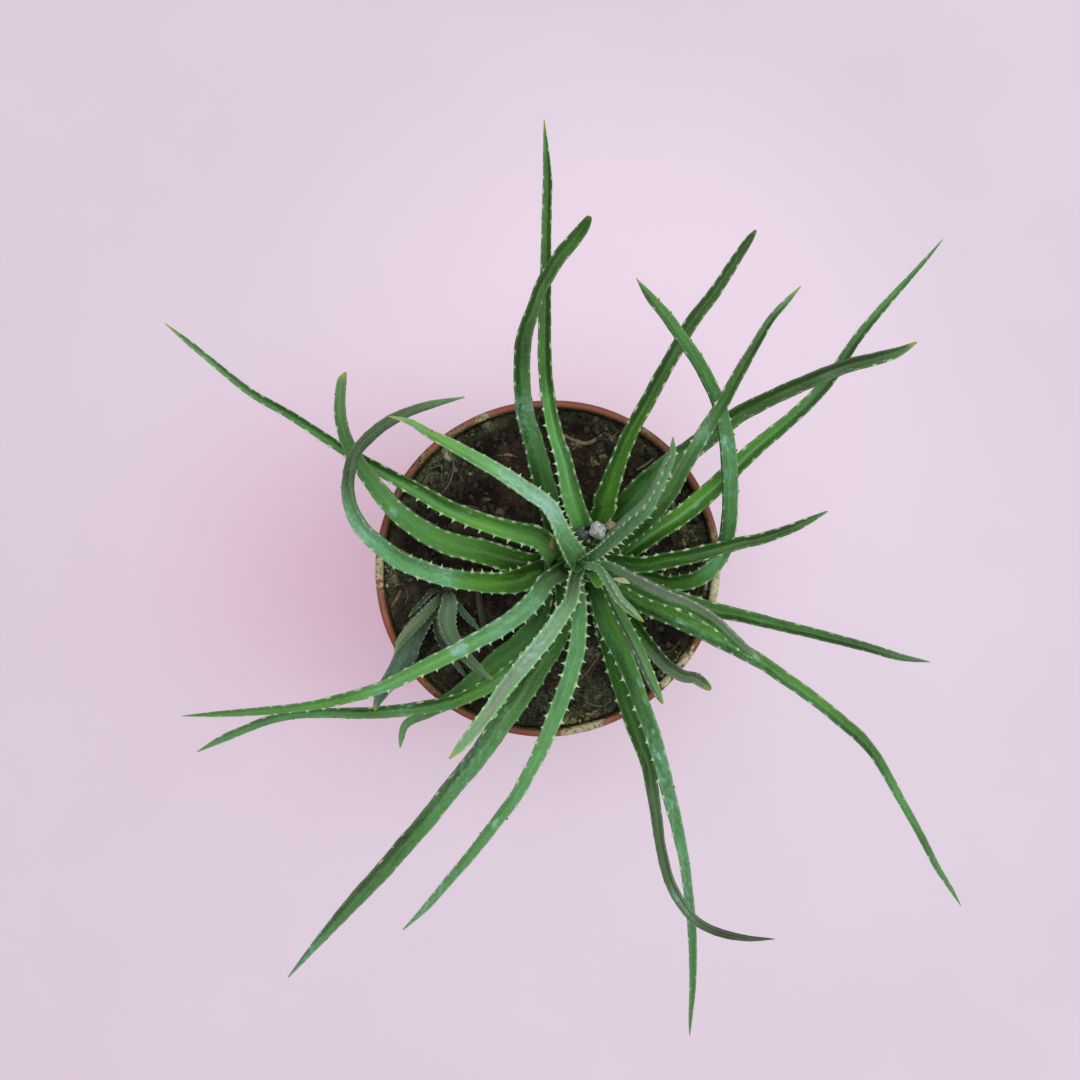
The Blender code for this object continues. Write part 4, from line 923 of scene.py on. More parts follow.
def pot_material():
    """Thin terracotta-coloured plastic: faint streaks, dust, lime and soil."""
    n = Nodes("m_pot", (0.26, 0.095, 0.055))
    c = n.coord()
    cloud = n.noise(c, 26.0, 3.0, 0.55)
    fine = n.noise(c, 620.0, 3.0, 0.6)
    drip = n.noise(n.scaled(c, (150.0, 150.0, 9.0)), 1.0, 4.0, 0.65)
    spot = n.noise(c, 210.0, 4.0, 0.7)
    colour = n.mix(n.ramp(cloud, 0.3, 0.7), srgb(140, 78, 56),
                   srgb(156, 90, 66))
    colour = n.mix(n.ramp(fine, 0.35, 0.75, 0.0, 0.35), colour,
                   srgb(120, 70, 56))
    # pale dust and lime where water has run and dried
    lime = n.math('MULTIPLY', n.attr("lime"), n.ramp(drip, 0.42, 0.70),
                  clamp=True)
    colour = n.mix(n.math('MULTIPLY', lime, 0.55), colour,
                   srgb(196, 178, 160))
    # soil and algae that cling inside the lip and low on the foot
    dirt = n.math('ADD', n.attr("dirt"),
                  n.math('MULTIPLY', n.math('SUBTRACT', spot, 0.5), 1.1))
    dirt = n.math('MULTIPLY', n.ramp(dirt, 0.35, 0.75),
                  n.ramp(n.attr("dirt"), 0.02, 0.3), clamp=True)
    colour = n.mix(dirt, colour, n.mix(n.ramp(fine, 0.35, 0.65),
                                       srgb(48, 40, 26), srgb(84, 76, 44)))
    n.colour(colour)
    r = n.ramp(fine, 0.3, 0.7, 0.50, 0.62)
    r = n.math('ADD', r, n.math('MULTIPLY', lime, 0.2), clamp=True)
    r = n.math('ADD', r, n.math('MULTIPLY', dirt, 0.25), clamp=True)
    n.rough(r)
    n.bsdf.inputs["Specular IOR Level"].default_value = 0.4
    h = n.math('ADD', n.math('MULTIPLY', fine, 0.5),
               n.math('MULTIPLY', dirt, 1.4))
    h = n.math('ADD', h, n.math('MULTIPLY', lime, 0.3))
    n.bump(h, 0.35, 0.0003)
    return n.mat


# ---------------------------------------------------------------- helpers
def mesh_object(name, verts, faces, mat, smooth=True, attrs=None):
    """Object from vertex rows (mm) and faces, with values per vertex."""
    mesh = bpy.data.meshes.new(name)
    v = np.asarray(verts, float) * MM
    mesh.from_pydata(v.tolist(), [], faces)
    for key, value in (attrs or {}).items():
        value = np.asarray(value, np.float32)
        if value.ndim == 2:
            a = mesh.attributes.new(key, 'FLOAT_VECTOR', 'POINT')
            a.data.foreach_set("vector", value.ravel())
        else:
            a = mesh.attributes.new(key, 'FLOAT', 'POINT')
            a.data.foreach_set("value", value)
    if smooth:
        mesh.shade_smooth()
    mesh.materials.append(mat)
    mesh.update()
    obj = bpy.data.objects.new(name, mesh)
    bpy.context.scene.collection.objects.link(obj)
    return obj


def piece(obj, slot, *nodes):
    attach(obj, "root")
    if nodes:
        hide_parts(*nodes)
    return obj


def lerp(a, b, t):
    return a + (b - a) * t


def smooth01(x):
    x = np.clip(x, 0.0, 1.0)
    return x * x * (3.0 - 2.0 * x)


def stem_axis(z):
    t = max(0.0, min(1.0, (z - SOIL_TOP) / (STEM_TOP - SOIL_TOP)))
    return Vector((lerp(STEM_FOOT[0], STEM_HEAD[0], t),
                   lerp(STEM_FOOT[1], STEM_HEAD[1], t), z))


def stem_radius(z):
    t = max(0.0, min(1.0, (z - SOIL_TOP) / (STEM_TOP - SOIL_TOP)))
    return lerp(STEM_FOOT_RADIUS, STEM_HEAD_RADIUS, t)


def soil_height(x, y):
    """General height of the soil at x, y (mm), as the part has it."""
    bump = (math.sin(x * 0.21 + 0.8) * math.cos(y * 0.17 - 0.5)
            + 0.6 * math.sin(x * 0.47 - y * 0.39 + 2.1)
            + 0.4 * math.cos(x * 0.83 + y * 0.71))
    calm = 1.0
    for cx, cy, r in ((STEM_FOOT[0], STEM_FOOT[1], 9.0),
                      (PUP_CENTRE[0], PUP_CENTRE[1], 6.0)):
        d = math.hypot(x - cx, y - cy)
        calm *= max(0.0, min(1.0, (d - r) / 8.0))
    return SOIL_TOP + SOIL_RELIEF * 0.5 * bump * calm


def pot_oval(z):
    return lerp(1.0, POT_SQUEEZE, z / POT_HEIGHT)


def oval(x, y, z):
    """The pot's slight squeeze at x, y (mm) and height z."""
    c, s = math.cos(POT_SQUEEZE_TURN), math.sin(POT_SQUEEZE_TURN)
    a, b = x * c + y * s, (-x * s + y * c) * pot_oval(z)
    return a * c - b * s, a * s + b * c


def wall_radius(z):
    return lerp(POT_FOOT_RADIUS, POT_TOP_RADIUS - 1.6, z / POT_HEIGHT)


# ---------------------------------------------------------------- leaves
def through(p, t):
    a, b, c, d = p
    s = t * 3.0
    return (a * (s - 1) * (s - 2) * (s - 3) / -6.0
            + b * s * (s - 2) * (s - 3) / 2.0
            + c * s * (s - 1) * (s - 3) / -2.0
            + d * s * (s - 1) * (s - 2) / 6.0)


def catmull(points, per_span):
    p = np.array(points, float)
    p = np.vstack([2 * p[0] - p[1], p, 2 * p[-1] - p[-2]])
    t = (np.arange(per_span) / per_span)[:, None]
    out = []
    for i in range(1, len(p) - 2):
        a, b, c, d = p[i - 1:i + 3]
        out.append(0.5 * (2 * b + (c - a) * t + (2 * a - 5 * b + 4 * c - d)
                          * t * t + (3 * b - a - 3 * c + d) * t ** 3))
    out.append(p[-2][None])
    return np.vstack(out)


def unit(v):
    return v / np.maximum(np.linalg.norm(v, axis=-1, keepdims=True), 1e-9)


def leaf_line(spec, root, root_width):
    """The leaf's line, finely sampled: plan, places, widths (mm), arc (mm)."""
    heights, rolls, route = spec
    k = (EYE[2] - root.z) / PLAN_REACH
    u0 = PLAN_CENTRE[0] + (root.x - EYE[0]) / k
    v0 = PLAN_CENTRE[1] - (root.y - EYE[1]) / k
    plan = catmull([(u0, v0, root_width * route[0][2])] + list(route), 16)
    step = np.linalg.norm(np.diff(plan[:, :2], axis=0), axis=1)
    run = np.concatenate([[0.0], np.cumsum(step)])
    z = through(heights, run / run[-1])
    kk = (EYE[2] - z) / PLAN_REACH
    place = np.stack([EYE[0] + (plan[:, 0] - PLAN_CENTRE[0]) * kk,
                      EYE[1] - (plan[:, 1] - PLAN_CENTRE[1]) * kk, z], 1)
    width = plan[:, 2] * kk
    arc = np.concatenate([[0.0], np.cumsum(
        np.linalg.norm(np.diff(place, axis=0), axis=1))])
    return plan[:, :2], place, width, arc


def tooth_row(rng, length, first, last, gap0, gap1):
    """Places of the teeth of one margin, in mm along the leaf."""
    rows = []
    s = first
    while s < last:
        rows.append(s)
        s += lerp(gap0, gap1, min(1.0, s / length * 2.2)) * rng.uniform(.84, 1.16)
    return rows


# section of a leaf: places across the upper face in half widths, and angles
# round the lower face from one flank to the other
TOP = np.array([-.95, -.86, -.72, -.55, -.37, -.18, 0, .18, .37, .55, .72,
                .86, .95])
LOW = np.radians(np.array([-34, -6, 24, 55, 90, 125, 156, 186, 214]))


def mark(s, UV, u, v):
    """Distance along the leaf of the point nearest to (u, v) on the plan."""
    return s[int(np.argmin((UV[:, 0] - u) ** 2 + (UV[:, 1] - v) ** 2))]


def run_along(s, UV, runs, default):
    """Piecewise line through (u, v, amount) marks laid on the plan."""
    if runs is None:
        return np.full(len(s), float(default))
    if isinstance(runs, (int, float)):
        return np.full(len(s), float(runs))
    at = sorted((mark(s, UV, u, v), a) for u, v, a in runs)
    return np.interp(s, [a for a, _ in at], [b for _, b in at])


def leaf_piece(name, spec, root, root_width, centre, mat, look, seed):
    rng = random.Random(seed)
    plan, place, width, arc = leaf_line(spec, root, root_width)
    rolls = spec[1]

    # the base: a sleeve up the stem that turns out into the leaf
    sleeve = look.get("sleeve", 4.5)
    axis = np.array([*centre(root.z)[:2], root.z])
    out_dir = np.array([root.x - axis[0], root.y - axis[1], 0.0])
    stem_r = max(np.linalg.norm(out_dir) - 1.2, 0.4)
    out_dir /= np.linalg.norm(out_dir)
    keep = arc > look.get("join", 3.6)
    pre = []
    for down, off in ((sleeve, -0.5), (sleeve * 0.55, -0.1), (0.8, 0.5)):
        z = root.z - down
        c = np.array([*centre(z)[:2], z])
        pre.append(c + out_dir * (stem_r + off))
    w0 = root_width * 1.32 * spec[2][0][2] * PLAN_UNIT
    w0 = min(w0, look.get("hold", 2.3 * stem_r + 1.5))
    knots = np.vstack([pre, place[keep]])
    kw = np.concatenate([[w0 * 0.92, w0, w0], width[keep]])
    kuv = np.vstack([plan[:1], plan[:1], plan[:1], plan[keep]])
    first_knots = catmull(knots[:6], 8)[:-1]
    place = np.vstack([first_knots, knots[5:]])
    width = np.concatenate([catmull(kw[:6, None], 8)[:-1, 0], kw[5:]])
    plan = np.vstack([catmull(kuv[:6], 8)[:-1], kuv[5:]])
    arc = np.concatenate([[0.0], np.cumsum(
        np.linalg.norm(np.diff(place, axis=0), axis=1))])
    length = arc[-1]

    gap0, gap1 = look.get("teeth", (4.2, 5.4))
    gap0 *= 0.76
    size = look.get("tooth", 1.2)
    first = sleeve + look.get("first", 3.0)
    rows = [tooth_row(rng, length, first + rng.uniform(0, 2), length * 0.965,
                      gap0, gap1) for _ in (0, 1)]
    # stations: dense over each tooth, sparse between
    base = look.get("base", 0.58)
    keys = [0.0, length]
    for side in rows:
        for c in side:
            keys += [c + base * f for f in (-1.9, -1.15, -0.7, -0.34, 0.0,
                                            0.3, 0.62, 1.0, 1.7)]
    keys += list(np.linspace(0, length, int(length / 0.9) + 2))
    keys += list(length - np.array([2.4, 1.6, 1.0, 0.55, 0.25, 0.1]))
    keys = sorted(k for k in keys if 0 <= k <= length)
    s = [keys[0]]
    for k in keys[1:]:
        if k - s[-1] > 0.13:
            s.append(k)
    s[-1] = length
    s = np.array(s)
    n = len(s)
    t = np.clip((s - sleeve) / (length - sleeve), 0, 1)
    P = np.stack([np.interp(s, arc, place[:, i]) for i in range(3)], 1)
    W = np.interp(s, arc, width)
    UV = np.stack([np.interp(s, arc, plan[:, i]) for i in range(2)], 1)

    def runs(key, default):
        return run_along(s, UV, look.get(key), default)

    def sides(key, default):
        pair = look.get(key, (default, default))
        if not isinstance(pair, tuple):
            pair = (pair, pair)
        return [run_along(s, UV, p, default) for p in pair]

    # a slight sway of the line, as grown
    ph = rng.uniform(0, 6.28)
    reach = np.clip(s / 2.0, 0.6, 1.8)
    ahead = unit(np.stack([np.interp(np.clip(s + reach, 0, length), arc,
                                     place[:, i])
                           - np.interp(np.clip(s - reach, 0, length), arc,
                                       place[:, i]) for i in range(3)], 1))
    flat = unit(np.stack([ahead[:, 1], -ahead[:, 0], np.zeros(n)], 1))
    face = unit(np.cross(flat, ahead))
    turn = (run_along(s, UV, look["roll"], 0) if "roll" in look
            else lerp(rolls[0], rolls[1], t))
    roll = np.radians(turn * smooth01((s - sleeve) / 6.0)
                      + look.get("twist", 2.0) * np.sin(t * 7 + seed))
    cr, sr = np.cos(roll)[:, None], np.sin(roll)[:, None]
    side = flat * cr + np.cross(ahead, flat) * sr
    face = face * cr + np.cross(ahead, face) * sr
    W = W * (1 + 0.020 * np.sin(s * 0.55 + ph)
             + 0.012 * np.sin(s * 1.3 + 2 * ph)) * runs("wide", 1.0)
    # the last millimetres close in a rounded point
    left = (length - s) / np.maximum(0.55 * W, 0.5)
    W = W * np.sqrt(np.clip(1 - (1 - np.clip(left, 0, 1)) ** 2, 0.012, 1))
    half = 0.5 * W
    thick = W * runs("thick", 0.30)
    thick = thick * lerp(0.55, 1.0, smooth01(s / (sleeve + 4.0)))
    cup = runs("cup", 0.14)
    deep = (runs("deep", 0.24)
            * (1 - 0.7 * smooth01((t - 0.82) / 0.18)))
    ym = thick * (0.34 + cup)
    y0 = thick * (0.02 - deep)
    yb = -thick * 0.66
    e = np.minimum(0.10 * thick, 0.22)
    flank = look.get("flank", (0.8, 0.8))
    flank = np.stack([run_along(s, UV, f, 0.8) for f in flank], 1)
    flank = flank * smooth01((s - 2.0) / 6.0)[:, None]

    m_top, m_low = len(TOP), len(LOW)
    m = m_top + m_low + 2
    x = np.empty((n, m))
    y = np.empty((n, m))
    right = np.arange(m_top) >= m_top // 2
    xm_r = (1 - 0.15 * flank[:, 0]) * half
    xm_l = (1 - 0.15 * flank[:, 1]) * half
    top_i = np.arange(m_top)
    low_i = np.arange(m_top + 1, m_top + 1 + m_low)
    vee = look.get("vee", 1.5)
    xm = np.where(right[None], xm_r[:, None], xm_l[:, None])
    x[:, top_i] = TOP[None] * xm
    y[:, top_i] = (y0[:, None] + (ym + e - y0)[:, None]
                   * np.abs(TOP)[None] ** vee)
    x[:, m_top], y[:, m_top] = xm_r, ym
    x[:, -1], y[:, -1] = -xm_l, ym
    cosl, sinl = np.cos(LOW)[None], np.sin(LOW)[None]
    fl = np.where(cosl >= 0, flank[:, :1], flank[:, 1:])
    # without a flank the lower face runs straight from the margin
    a0 = np.clip((LOW[None] + 0.6) / (np.pi / 2 + 0.6), 0, 1)
    a1 = np.clip((np.pi + 0.6 - LOW[None]) / (np.pi / 2 + 0.6), 0, 1)
    k = np.where(cosl >= 0, a0, a1)
    sharp_x = np.sign(cosl) * np.cos(np.pi / 2 * (k * 0.93 + 0.07)) ** 0.8
    sharp_x = np.where(np.abs(cosl) < 1e-6, 0.0, sharp_x)
    sharp_y = (ym - e)[:, None] + (yb - ym + e)[:, None] * (
        1 - (1 - (k * 0.93 + 0.07)) ** 1.7)
    yc = (0.5 * (ym + yb) + 0.12 * thick)[:, None]
    round_x = np.sign(cosl) * np.abs(cosl) ** 0.9
    round_y = np.where(sinl < 0, yc + (ym[:, None] - e[:, None] - yc)
                       * np.clip(-sinl / 0.62, 0, 1),
                       yc - (yc - yb[:, None]) * np.clip(sinl, 0, 1))
    x[:, low_i] = lerp(sharp_x * half[:, None], round_x * half[:, None], fl)
    y[:, low_i] = lerp(sharp_y, round_y, fl)
    is_low = np.zeros(m)
    is_low[low_i] = 1.0
    lowf = is_low[None] * np.ones((n, 1))
    xs = x / np.maximum(half[:, None], 1e-6)
    sgn = np.where(xs >= 0, 1.0, -1.0)

    # distance from the margin, and the teeth that stand on it
    gap_r = np.hypot(x - xm_r[:, None], y - ym[:, None])
    gap_l = np.hypot(x + xm_l[:, None], y - ym[:, None])
    d_edge = np.where(sgn > 0, gap_r, gap_l)
    out = np.zeros((n, m))
    swell_by = np.zeros((n, m))
    lead = np.zeros((n, m))
    horn = np.zeros((n, m))
    worn = np.zeros((n, m))
    fade = look.get("toothfade", 0.62)
    rise = [np.radians(r) for r in sides("rise", 70)]
    up = np.where(sgn > 0, rise[0][:, None], rise[1][:, None])
    dash = sides("dash", 1.0)
    for k_side, sign in ((0, 1.0), (1, -1.0)):
        on = sgn == sign
        for c in rows[k_side]:
            near = np.abs(s - c) < 3.0
            if not near.any():
                continue
            far = c / length
            big = lerp(1.0, 1 - fade, smooth01((far - 0.10) / 0.8))
            big *= smooth01((c - first + 4.0) / 8.0) * 0.5 + 0.5
            big *= rng.choice((0.6, 0.85, 0.95, 1.05, 1.15))
            w_here = float(np.interp(c, s, W))
            big *= min(1.0, w_here / 3.2)
            hgt = size * big
            ds = (s[near] - c)[:, None]
            r = np.sqrt((ds / (base * (0.6 + 0.4 * big))) ** 2
                        + (d_edge[near] / 0.30) ** 2)
            cone = np.clip(1 - r, 0, 1) ** 1.25 * on[near]
            swell = (np.exp(-(ds / 0.95) ** 2 - (d_edge[near] / 0.5) ** 2)
                     * on[near])
            out[near] += hgt * cone
            swell_by[near] += 0.13 * big * swell
            lead[near] += hgt * cone * look.get("lean", 0.25)
            pale = float(np.interp(c, s, dash[k_side]))
            long = lerp(0.70, 1.30, min(1.0, big)) * rng.uniform(0.7, 1.25)
            inset = d_edge[near] - lerp(0.05, 0.22, min(1.0, big))
            spot = np.exp(-((ds / long) ** 2) ** 1.5
                          - (inset / lerp(0.26, 0.42, big)) ** 2)
            spot = spot * on[near] * rng.uniform(0.50, 1.0) * pale
            horn[near] = np.maximum(horn[near], np.maximum(
                spot, np.clip(cone * 2.0, 0, 1) * lerp(0.5, 0.9, pale)))
            if rng.random() < look.get("brown", 0.10) * smooth01(
                    (far - 0.3) / 0.4):
                worn[near] = np.maximum(worn[near], np.clip(cone * 2.2, 0, 1)
                                        + 0.4 * spot)
    horn *= 1 - 0.8 * np.clip(worn, 0, 1)

    px = x + (out * np.cos(up) + swell_by) * sgn
    py = y + out * np.sin(up) + swell_by * 0.5
    V = (P[:, None] + side[:, None] * px[..., None]
         + face[:, None] * py[..., None] + ahead[:, None] * lead[..., None])

    # the base clasps the stem: bend its first millimetres round the axis
    clasp = sleeve + look.get("clasp", 6.0)
    w = 1 - smooth01((s - sleeve * 0.6) / (clasp - sleeve * 0.6))
    for i in np.nonzero(w > 0.001)[0]:
        c = np.array(centre(P[i, 2])[:2])
        o = P[i, :2] - c
        rad = max(np.linalg.norm(o), 0.8)
        o = o / max(np.linalg.norm(o), 1e-6)
        lat = np.array((-o[1], o[0]))
        q = V[i, :, :2] - c
        a = np.clip(q @ lat / max(rad, 2.2), -2.2, 2.2)
        d = q @ o
        bent = (np.cos(a) * d)[:, None] * o + (np.sin(a) * d)[:, None] * lat
        V[i, :, :2] = lerp(V[i, :, :2], bent + c, w[i])

    # values for the leaf skin
    full = np.ones((1, m))
    # tone carries painted light and shade as well as the leaf's own lightness
    tone_and_shade = runs("tone_and_shade", 0.45)[:, None] * full
    yellow = runs("yellow", 0.25)[:, None] * full
    purple = runs("purple", 0.0)[:, None] * full
    # painted shade: one half of the face lighter than the other, as light falls
    # across the channel
    painted_side_shade = look.get("painted_half_shade", rng.choice((-.22, -.15, .15, .22)))
    tone_and_shade = tone_and_shade + (run_along(s, UV, painted_side_shade, 0)[:, None]
                   * np.clip(xs * 2.2, -1, 1) * (1 - lowf))
    # painted shade down the middle groove of the face
    tone_and_shade = tone_and_shade + (runs("groove_shade", 0.0)[:, None] * (1 - lowf)
                   * np.exp(-(xs / 0.28) ** 2))
    hp = runs("halfpurple", 0.0)[:, None]
    purple = purple + np.abs(hp) * smooth01(0.5 + xs * np.sign(hp) * 1.4)
    purple = purple + (runs("mid", 0.0)[:, None] * (1 - lowf)
                       * np.exp(-((xs - look.get("midx", 0.0)) / 0.42) ** 2))
    hy = runs("halfyellow", 0.0)[:, None]
    yellow = yellow + np.abs(hy) * smooth01(0.5 + xs * np.sign(hy) * 1.4)
    yellow = yellow * (1 - 0.5 * lowf)
    under = runs("under", 0.35)[:, None] * full
    purple = np.where(lowf > 0, np.maximum(purple, under), purple)
    # wax bloom, and painted highlights where the wax and patch marks stand for a
    # gleam
    wax_and_sheen = runs("wax_and_sheen", 0.0)[:, None] * full * (1 - 0.5 * lowf)
    for u, v, px_long, amount, *across in look.get("patch", ()):
        half_mm = px_long * PLAN_UNIT * 0.5
        b = np.exp(-((s - mark(s, UV, u, v)) / half_mm) ** 4)[:, None]
        if across:
            b = b * np.exp(-((xs - across[0]) / across[1]) ** 2)
        wax_and_sheen = np.maximum(wax_and_sheen, 0.62 * amount * b * (1 - 0.6 * lowf))
    chan = runs("chan", 0.15)[:, None] * np.exp(
        -((xs - look.get("chanx", 0.0)) / 0.15) ** 2) * (1 - lowf)
    edge = np.exp(-(d_edge / look.get("edgew", 0.40)) ** 2)
    rim = sides("edge", 0.3)
    edge = edge * np.where(sgn > 0, rim[0][:, None], rim[1][:, None])
    fleck = runs("fleck", 0.08)[:, None] * (0.3 + 0.7 * np.abs(xs))
    # painted shade at the base, where the bases crowd round the stem
    shade = (1 - smooth01(s / (sleeve + look.get("shade", 5.0))))[:, None]
    shade = shade * full
    tip_mm = look.get("tipmm", 2.6)
    tip = (smooth01((s - (length - tip_mm)) / tip_mm)[:, None] * full
           * look.get("tip", 0.75))
    burn = (smooth01((s - (length - 1.5)) / 1.2)[:, None] * full
            * look.get("burn", 0.3))
    grain = np.stack([np.where(lowf > 0, x * 1.1 + 40, x),
                      s[:, None] * full, np.full((n, m), seed * 17.0)], -1)

    idx = np.arange(n * m).reshape(n, m)
    a, b = idx[:-1], idx[1:]
    quads = np.stack([a, np.roll(a, -1, 1), np.roll(b, -1, 1), b], -1)
    faces = quads.reshape(-1, 4).tolist()
    faces.append(idx[0][::-1].tolist())
    faces.append(idx[-1].tolist())
    attrs = {"tone_and_shade": tone_and_shade, "yellow": np.clip(yellow, 0, 1),
             "purple": np.clip(purple, 0, 1), "wax_and_sheen": wax_and_sheen, "chan": chan,
             "edge": edge, "tooth": np.clip(horn, 0, 1), "fleck": fleck,
             "tip": tip, "burn": burn, "worn": np.clip(worn, 0, 1),
             "shade": shade}
    attrs = {k: v.reshape(-1) for k, v in attrs.items()}
    attrs["grain"] = grain.reshape(-1, 3)
    return mesh_object(name, V.reshape(-1, 3), faces, mat, attrs=attrs)


def root_on_stem(spec, tuck=0.0):
    z = spec[0][0]
    u, v, w = spec[2][0]
    axis = stem_axis(z)
    out = from_plan(u, v, z) - axis
    out.z = 0.0
    out.normalize()
    return axis + out * (stem_radius(z) + GAP + 0.9 - tuck)


def root_on_pup(spec, tuck=0.0):
    z = spec[0][0]
    u, v, w = spec[2][0]
    axis = Vector((PUP_CENTRE[0], PUP_CENTRE[1], z))
    out = from_plan(u, v, z) - axis
    out.z = 0.0
    out.normalize()
    return axis + out * (PUP_RADIUS + GAP + 0.7 - tuck)


# ---------------------------------------------------------------- pot, soil
def plan_xy(u, v, z):
    p = from_plan(u, v, z)
    return p.x, p.y


def inside_radius(z):
    z1 = POT_HEIGHT - POT_COLLAR - 1
    lim = wall_radius(POT_HEIGHT - POT_COLLAR) - POT_WALL
    edge = POT_HEIGHT - 6.0
    if z <= z1:
        return lerp(POT_FOOT_RADIUS - POT_WALL + 0.4, lim,
                    (z - POT_FLOOR - 1.5) / (z1 - POT_FLOOR - 1.5))
    return lerp(lim, POT_TOP_RADIUS - POT_LIP, (z - z1) / (edge - z1))


# where the lip carries a crust of lime and soil: u, v, reach (px), amount, moss
CRUST = [(483, 416, 13, .55, .6), (377, 566, 19, .9, .25), (373, 590, 8, .5, .3),
         (717, 586, 20, 1.15, 0), (687, 660, 8, 1.1, 0), (668, 684, 6, 1.0, 0),
         (582, 732, 21, 1.0, .45), (566, 731, 10, .8, .7), (600, 728, 8, .7, .7),
         (640, 425, 20, .3, .8), (700, 500, 20, .3, .8), (416, 455, 18, .3, .9),
         (453, 431, 14, .3, .8), (440, 702, 14, .3, .6), (712, 537, 11, .6, .9),
         (400, 488, 14, .3, .9), (468, 422, 12, .35, .7)]


def crust_at(x, y):
    """Amount and mossiness of the crust at a place near the lip."""
    amount, moss = 0.0, 0.0
    k = (EYE[2] - POT_HEIGHT) / PLAN_REACH
    for u, v, reach, a, m in CRUST:
        cx, cy = plan_xy(u, v, POT_HEIGHT)
        d = math.hypot(x - cx, y - cy) / (reach * k)
        p = Vector((x, y, 0.0))
        d += 0.45 * noise.noise(p * 0.4) + 0.30 * noise.noise(p * 1.3)
        w = a * math.exp(-max(0.0, d) ** 1.9)
        if w > amount:
            amount, moss = w, m
    return amount, moss


def pot_piece(mat):
    steps = 168
    wr = wall_radius
    low = POT_HEIGHT - POT_COLLAR
    prof = [(POT_FOOT_RADIUS - POT_WALL - 1.0, POT_FLOOR),
            (POT_FOOT_RADIUS - POT_WALL - 0.2, POT_FLOOR + 0.4),
            (POT_FOOT_RADIUS - POT_WALL + 0.3, POT_FLOOR + 1.5)]
    prof += [(wr(z) - POT_WALL, z) for z in (20, 40, 60, 78, 88)]
    prof += [(inside_radius(90.0), 90.0), (inside_radius(93.0), 93.0),
             (inside_radius(96.0), 96.0), (57.6, 98.6), (57.7, 100.2),
             (57.7, 102.2), (57.7, 103.8), (57.85, 104.5), (58.2, 104.88),
             (58.7, 105.0), (59.25, 104.98), (59.75, 104.75), (60.05, 104.35),
             (60.2, 103.8), (60.15, 103.2), (59.9, 102.75), (59.55, 102.5),
             (59.4, 102.0)]
    prof += [(lerp(wr(low) + 1.2, 59.4, f), lerp(low + 0.9, 102.0, f))
             for f in (0.8, 0.55, 0.3, 0.1)]
    prof += [(wr(low) + 1.15, low + 0.45), (wr(low) + 0.85, low + 0.08),
             (wr(low) + 0.3, low - 0.1), (wr(low) - 0.1, low - 0.5),
             (wr(low - 3) - 0.05, low - 3)]
    prof += [(wr(z), z) for z in (80, 68, 56, 44, 32, 20, 10, 5)]
    prof += [(POT_FOOT_RADIUS + 0.35, 2.6), (POT_FOOT_RADIUS + 0.2, 1.2),
             (POT_FOOT_RADIUS - 0.25, 0.35), (POT_FOOT_RADIUS - 1.0, 0.0)]
    rings = len(prof)
    verts, lime, dirt = [], [], []
    for j, (r, z) in enumerate(prof):
        for i in range(steps):
            a = 2 * math.pi * i / steps
            c, s = math.cos(a), math.sin(a)
            sway = (0.16 * math.sin(3 * a + 0.6) + 0.10 * math.sin(5 * a + 2.0)
                    + 0.05 * math.sin(11 * a))
            sway *= smooth01((z - 3.0) / 87.0)
            rr = r + float(sway)
            x, y = oval(rr * c, rr * s, z)
            verts.append((x, y, z + 0.10 * math.sin(4 * a + 1.0)
                          * (z > 103) - 0.10 * (z > 103)))
            near, moss = crust_at(x, y)
            inner = z > 92 and r < 58.0 and j < 17
            lime.append(min(1.0, near * 1.5) if z > 103 else
                        0.35 + 0.3 * near if z > low else 0.30)
            dirt.append(0.95 if inner and z < 104.2 else
                        0.0 if z > 103 else
                        0.30 if j >= rings - 5 else 0.10)
    faces = []
    for j in range(rings - 1):
        for i in range(steps):
            k = (i + 1) % steps
            faces.append((j * steps + i, (j + 1) * steps + i,
                          (j + 1) * steps + k, j * steps + k))
    # the floor, pierced by the six drain holes; its own vertices keep it crisp
    from mathutils.geometry import tessellate_polygon

    def ring_points(r, z, n, cx=0.0, cy=0.0):
        return [Vector((*oval(cx + r * math.cos(2 * math.pi * i / n),
                              cy + r * math.sin(2 * math.pi * i / n), z), z))
                for i in range(n)]

    holes = [(DRAIN_HOLE_RING * math.cos(2 * math.pi * (i + .5) / 6),
              DRAIN_HOLE_RING * math.sin(2 * math.pi * (i + .5) / 6))
             for i in range(6)]
    for r, z, up in ((prof[0][0], POT_FLOOR, True), (prof[-1][0], 0.0, False)):
        loops = [ring_points(r, z, steps)]
        loops += [ring_points(DRAIN_HOLE_RADIUS, z, 28, x, y)[::-1]
                  for x, y in holes]
        base = len(verts)
        flatpts = [p for loop in loops for p in loop]
        verts += [tuple(p) for p in flatpts]
        lime += [0.2] * len(flatpts)
        dirt += [0.35] * len(flatpts)
        for t in tessellate_polygon(loops):
            a, b, c = (flatpts[i] for i in t)
            turn = (b - a).cross(c - a).z > 0
            t = t if turn == up else t[::-1]
            faces.append(tuple(base + i for i in t))
    for x, y in holes:
        base = len(verts)
        top = ring_points(DRAIN_HOLE_RADIUS, POT_FLOOR, 28, x, y)
        bot = ring_points(DRAIN_HOLE_RADIUS, 0.0, 28, x, y)
        verts += [tuple(p) for p in top + bot]
        lime += [0.2] * 56
        dirt += [0.5] * 56
        for i in range(28):
            k = (i + 1) % 28
            faces.append((base + i, base + k, base + 28 + k, base + 28 + i))
    return mesh_object("pot_body", verts, faces, mat, True,
                       {"lime": lime, "dirt": dirt})


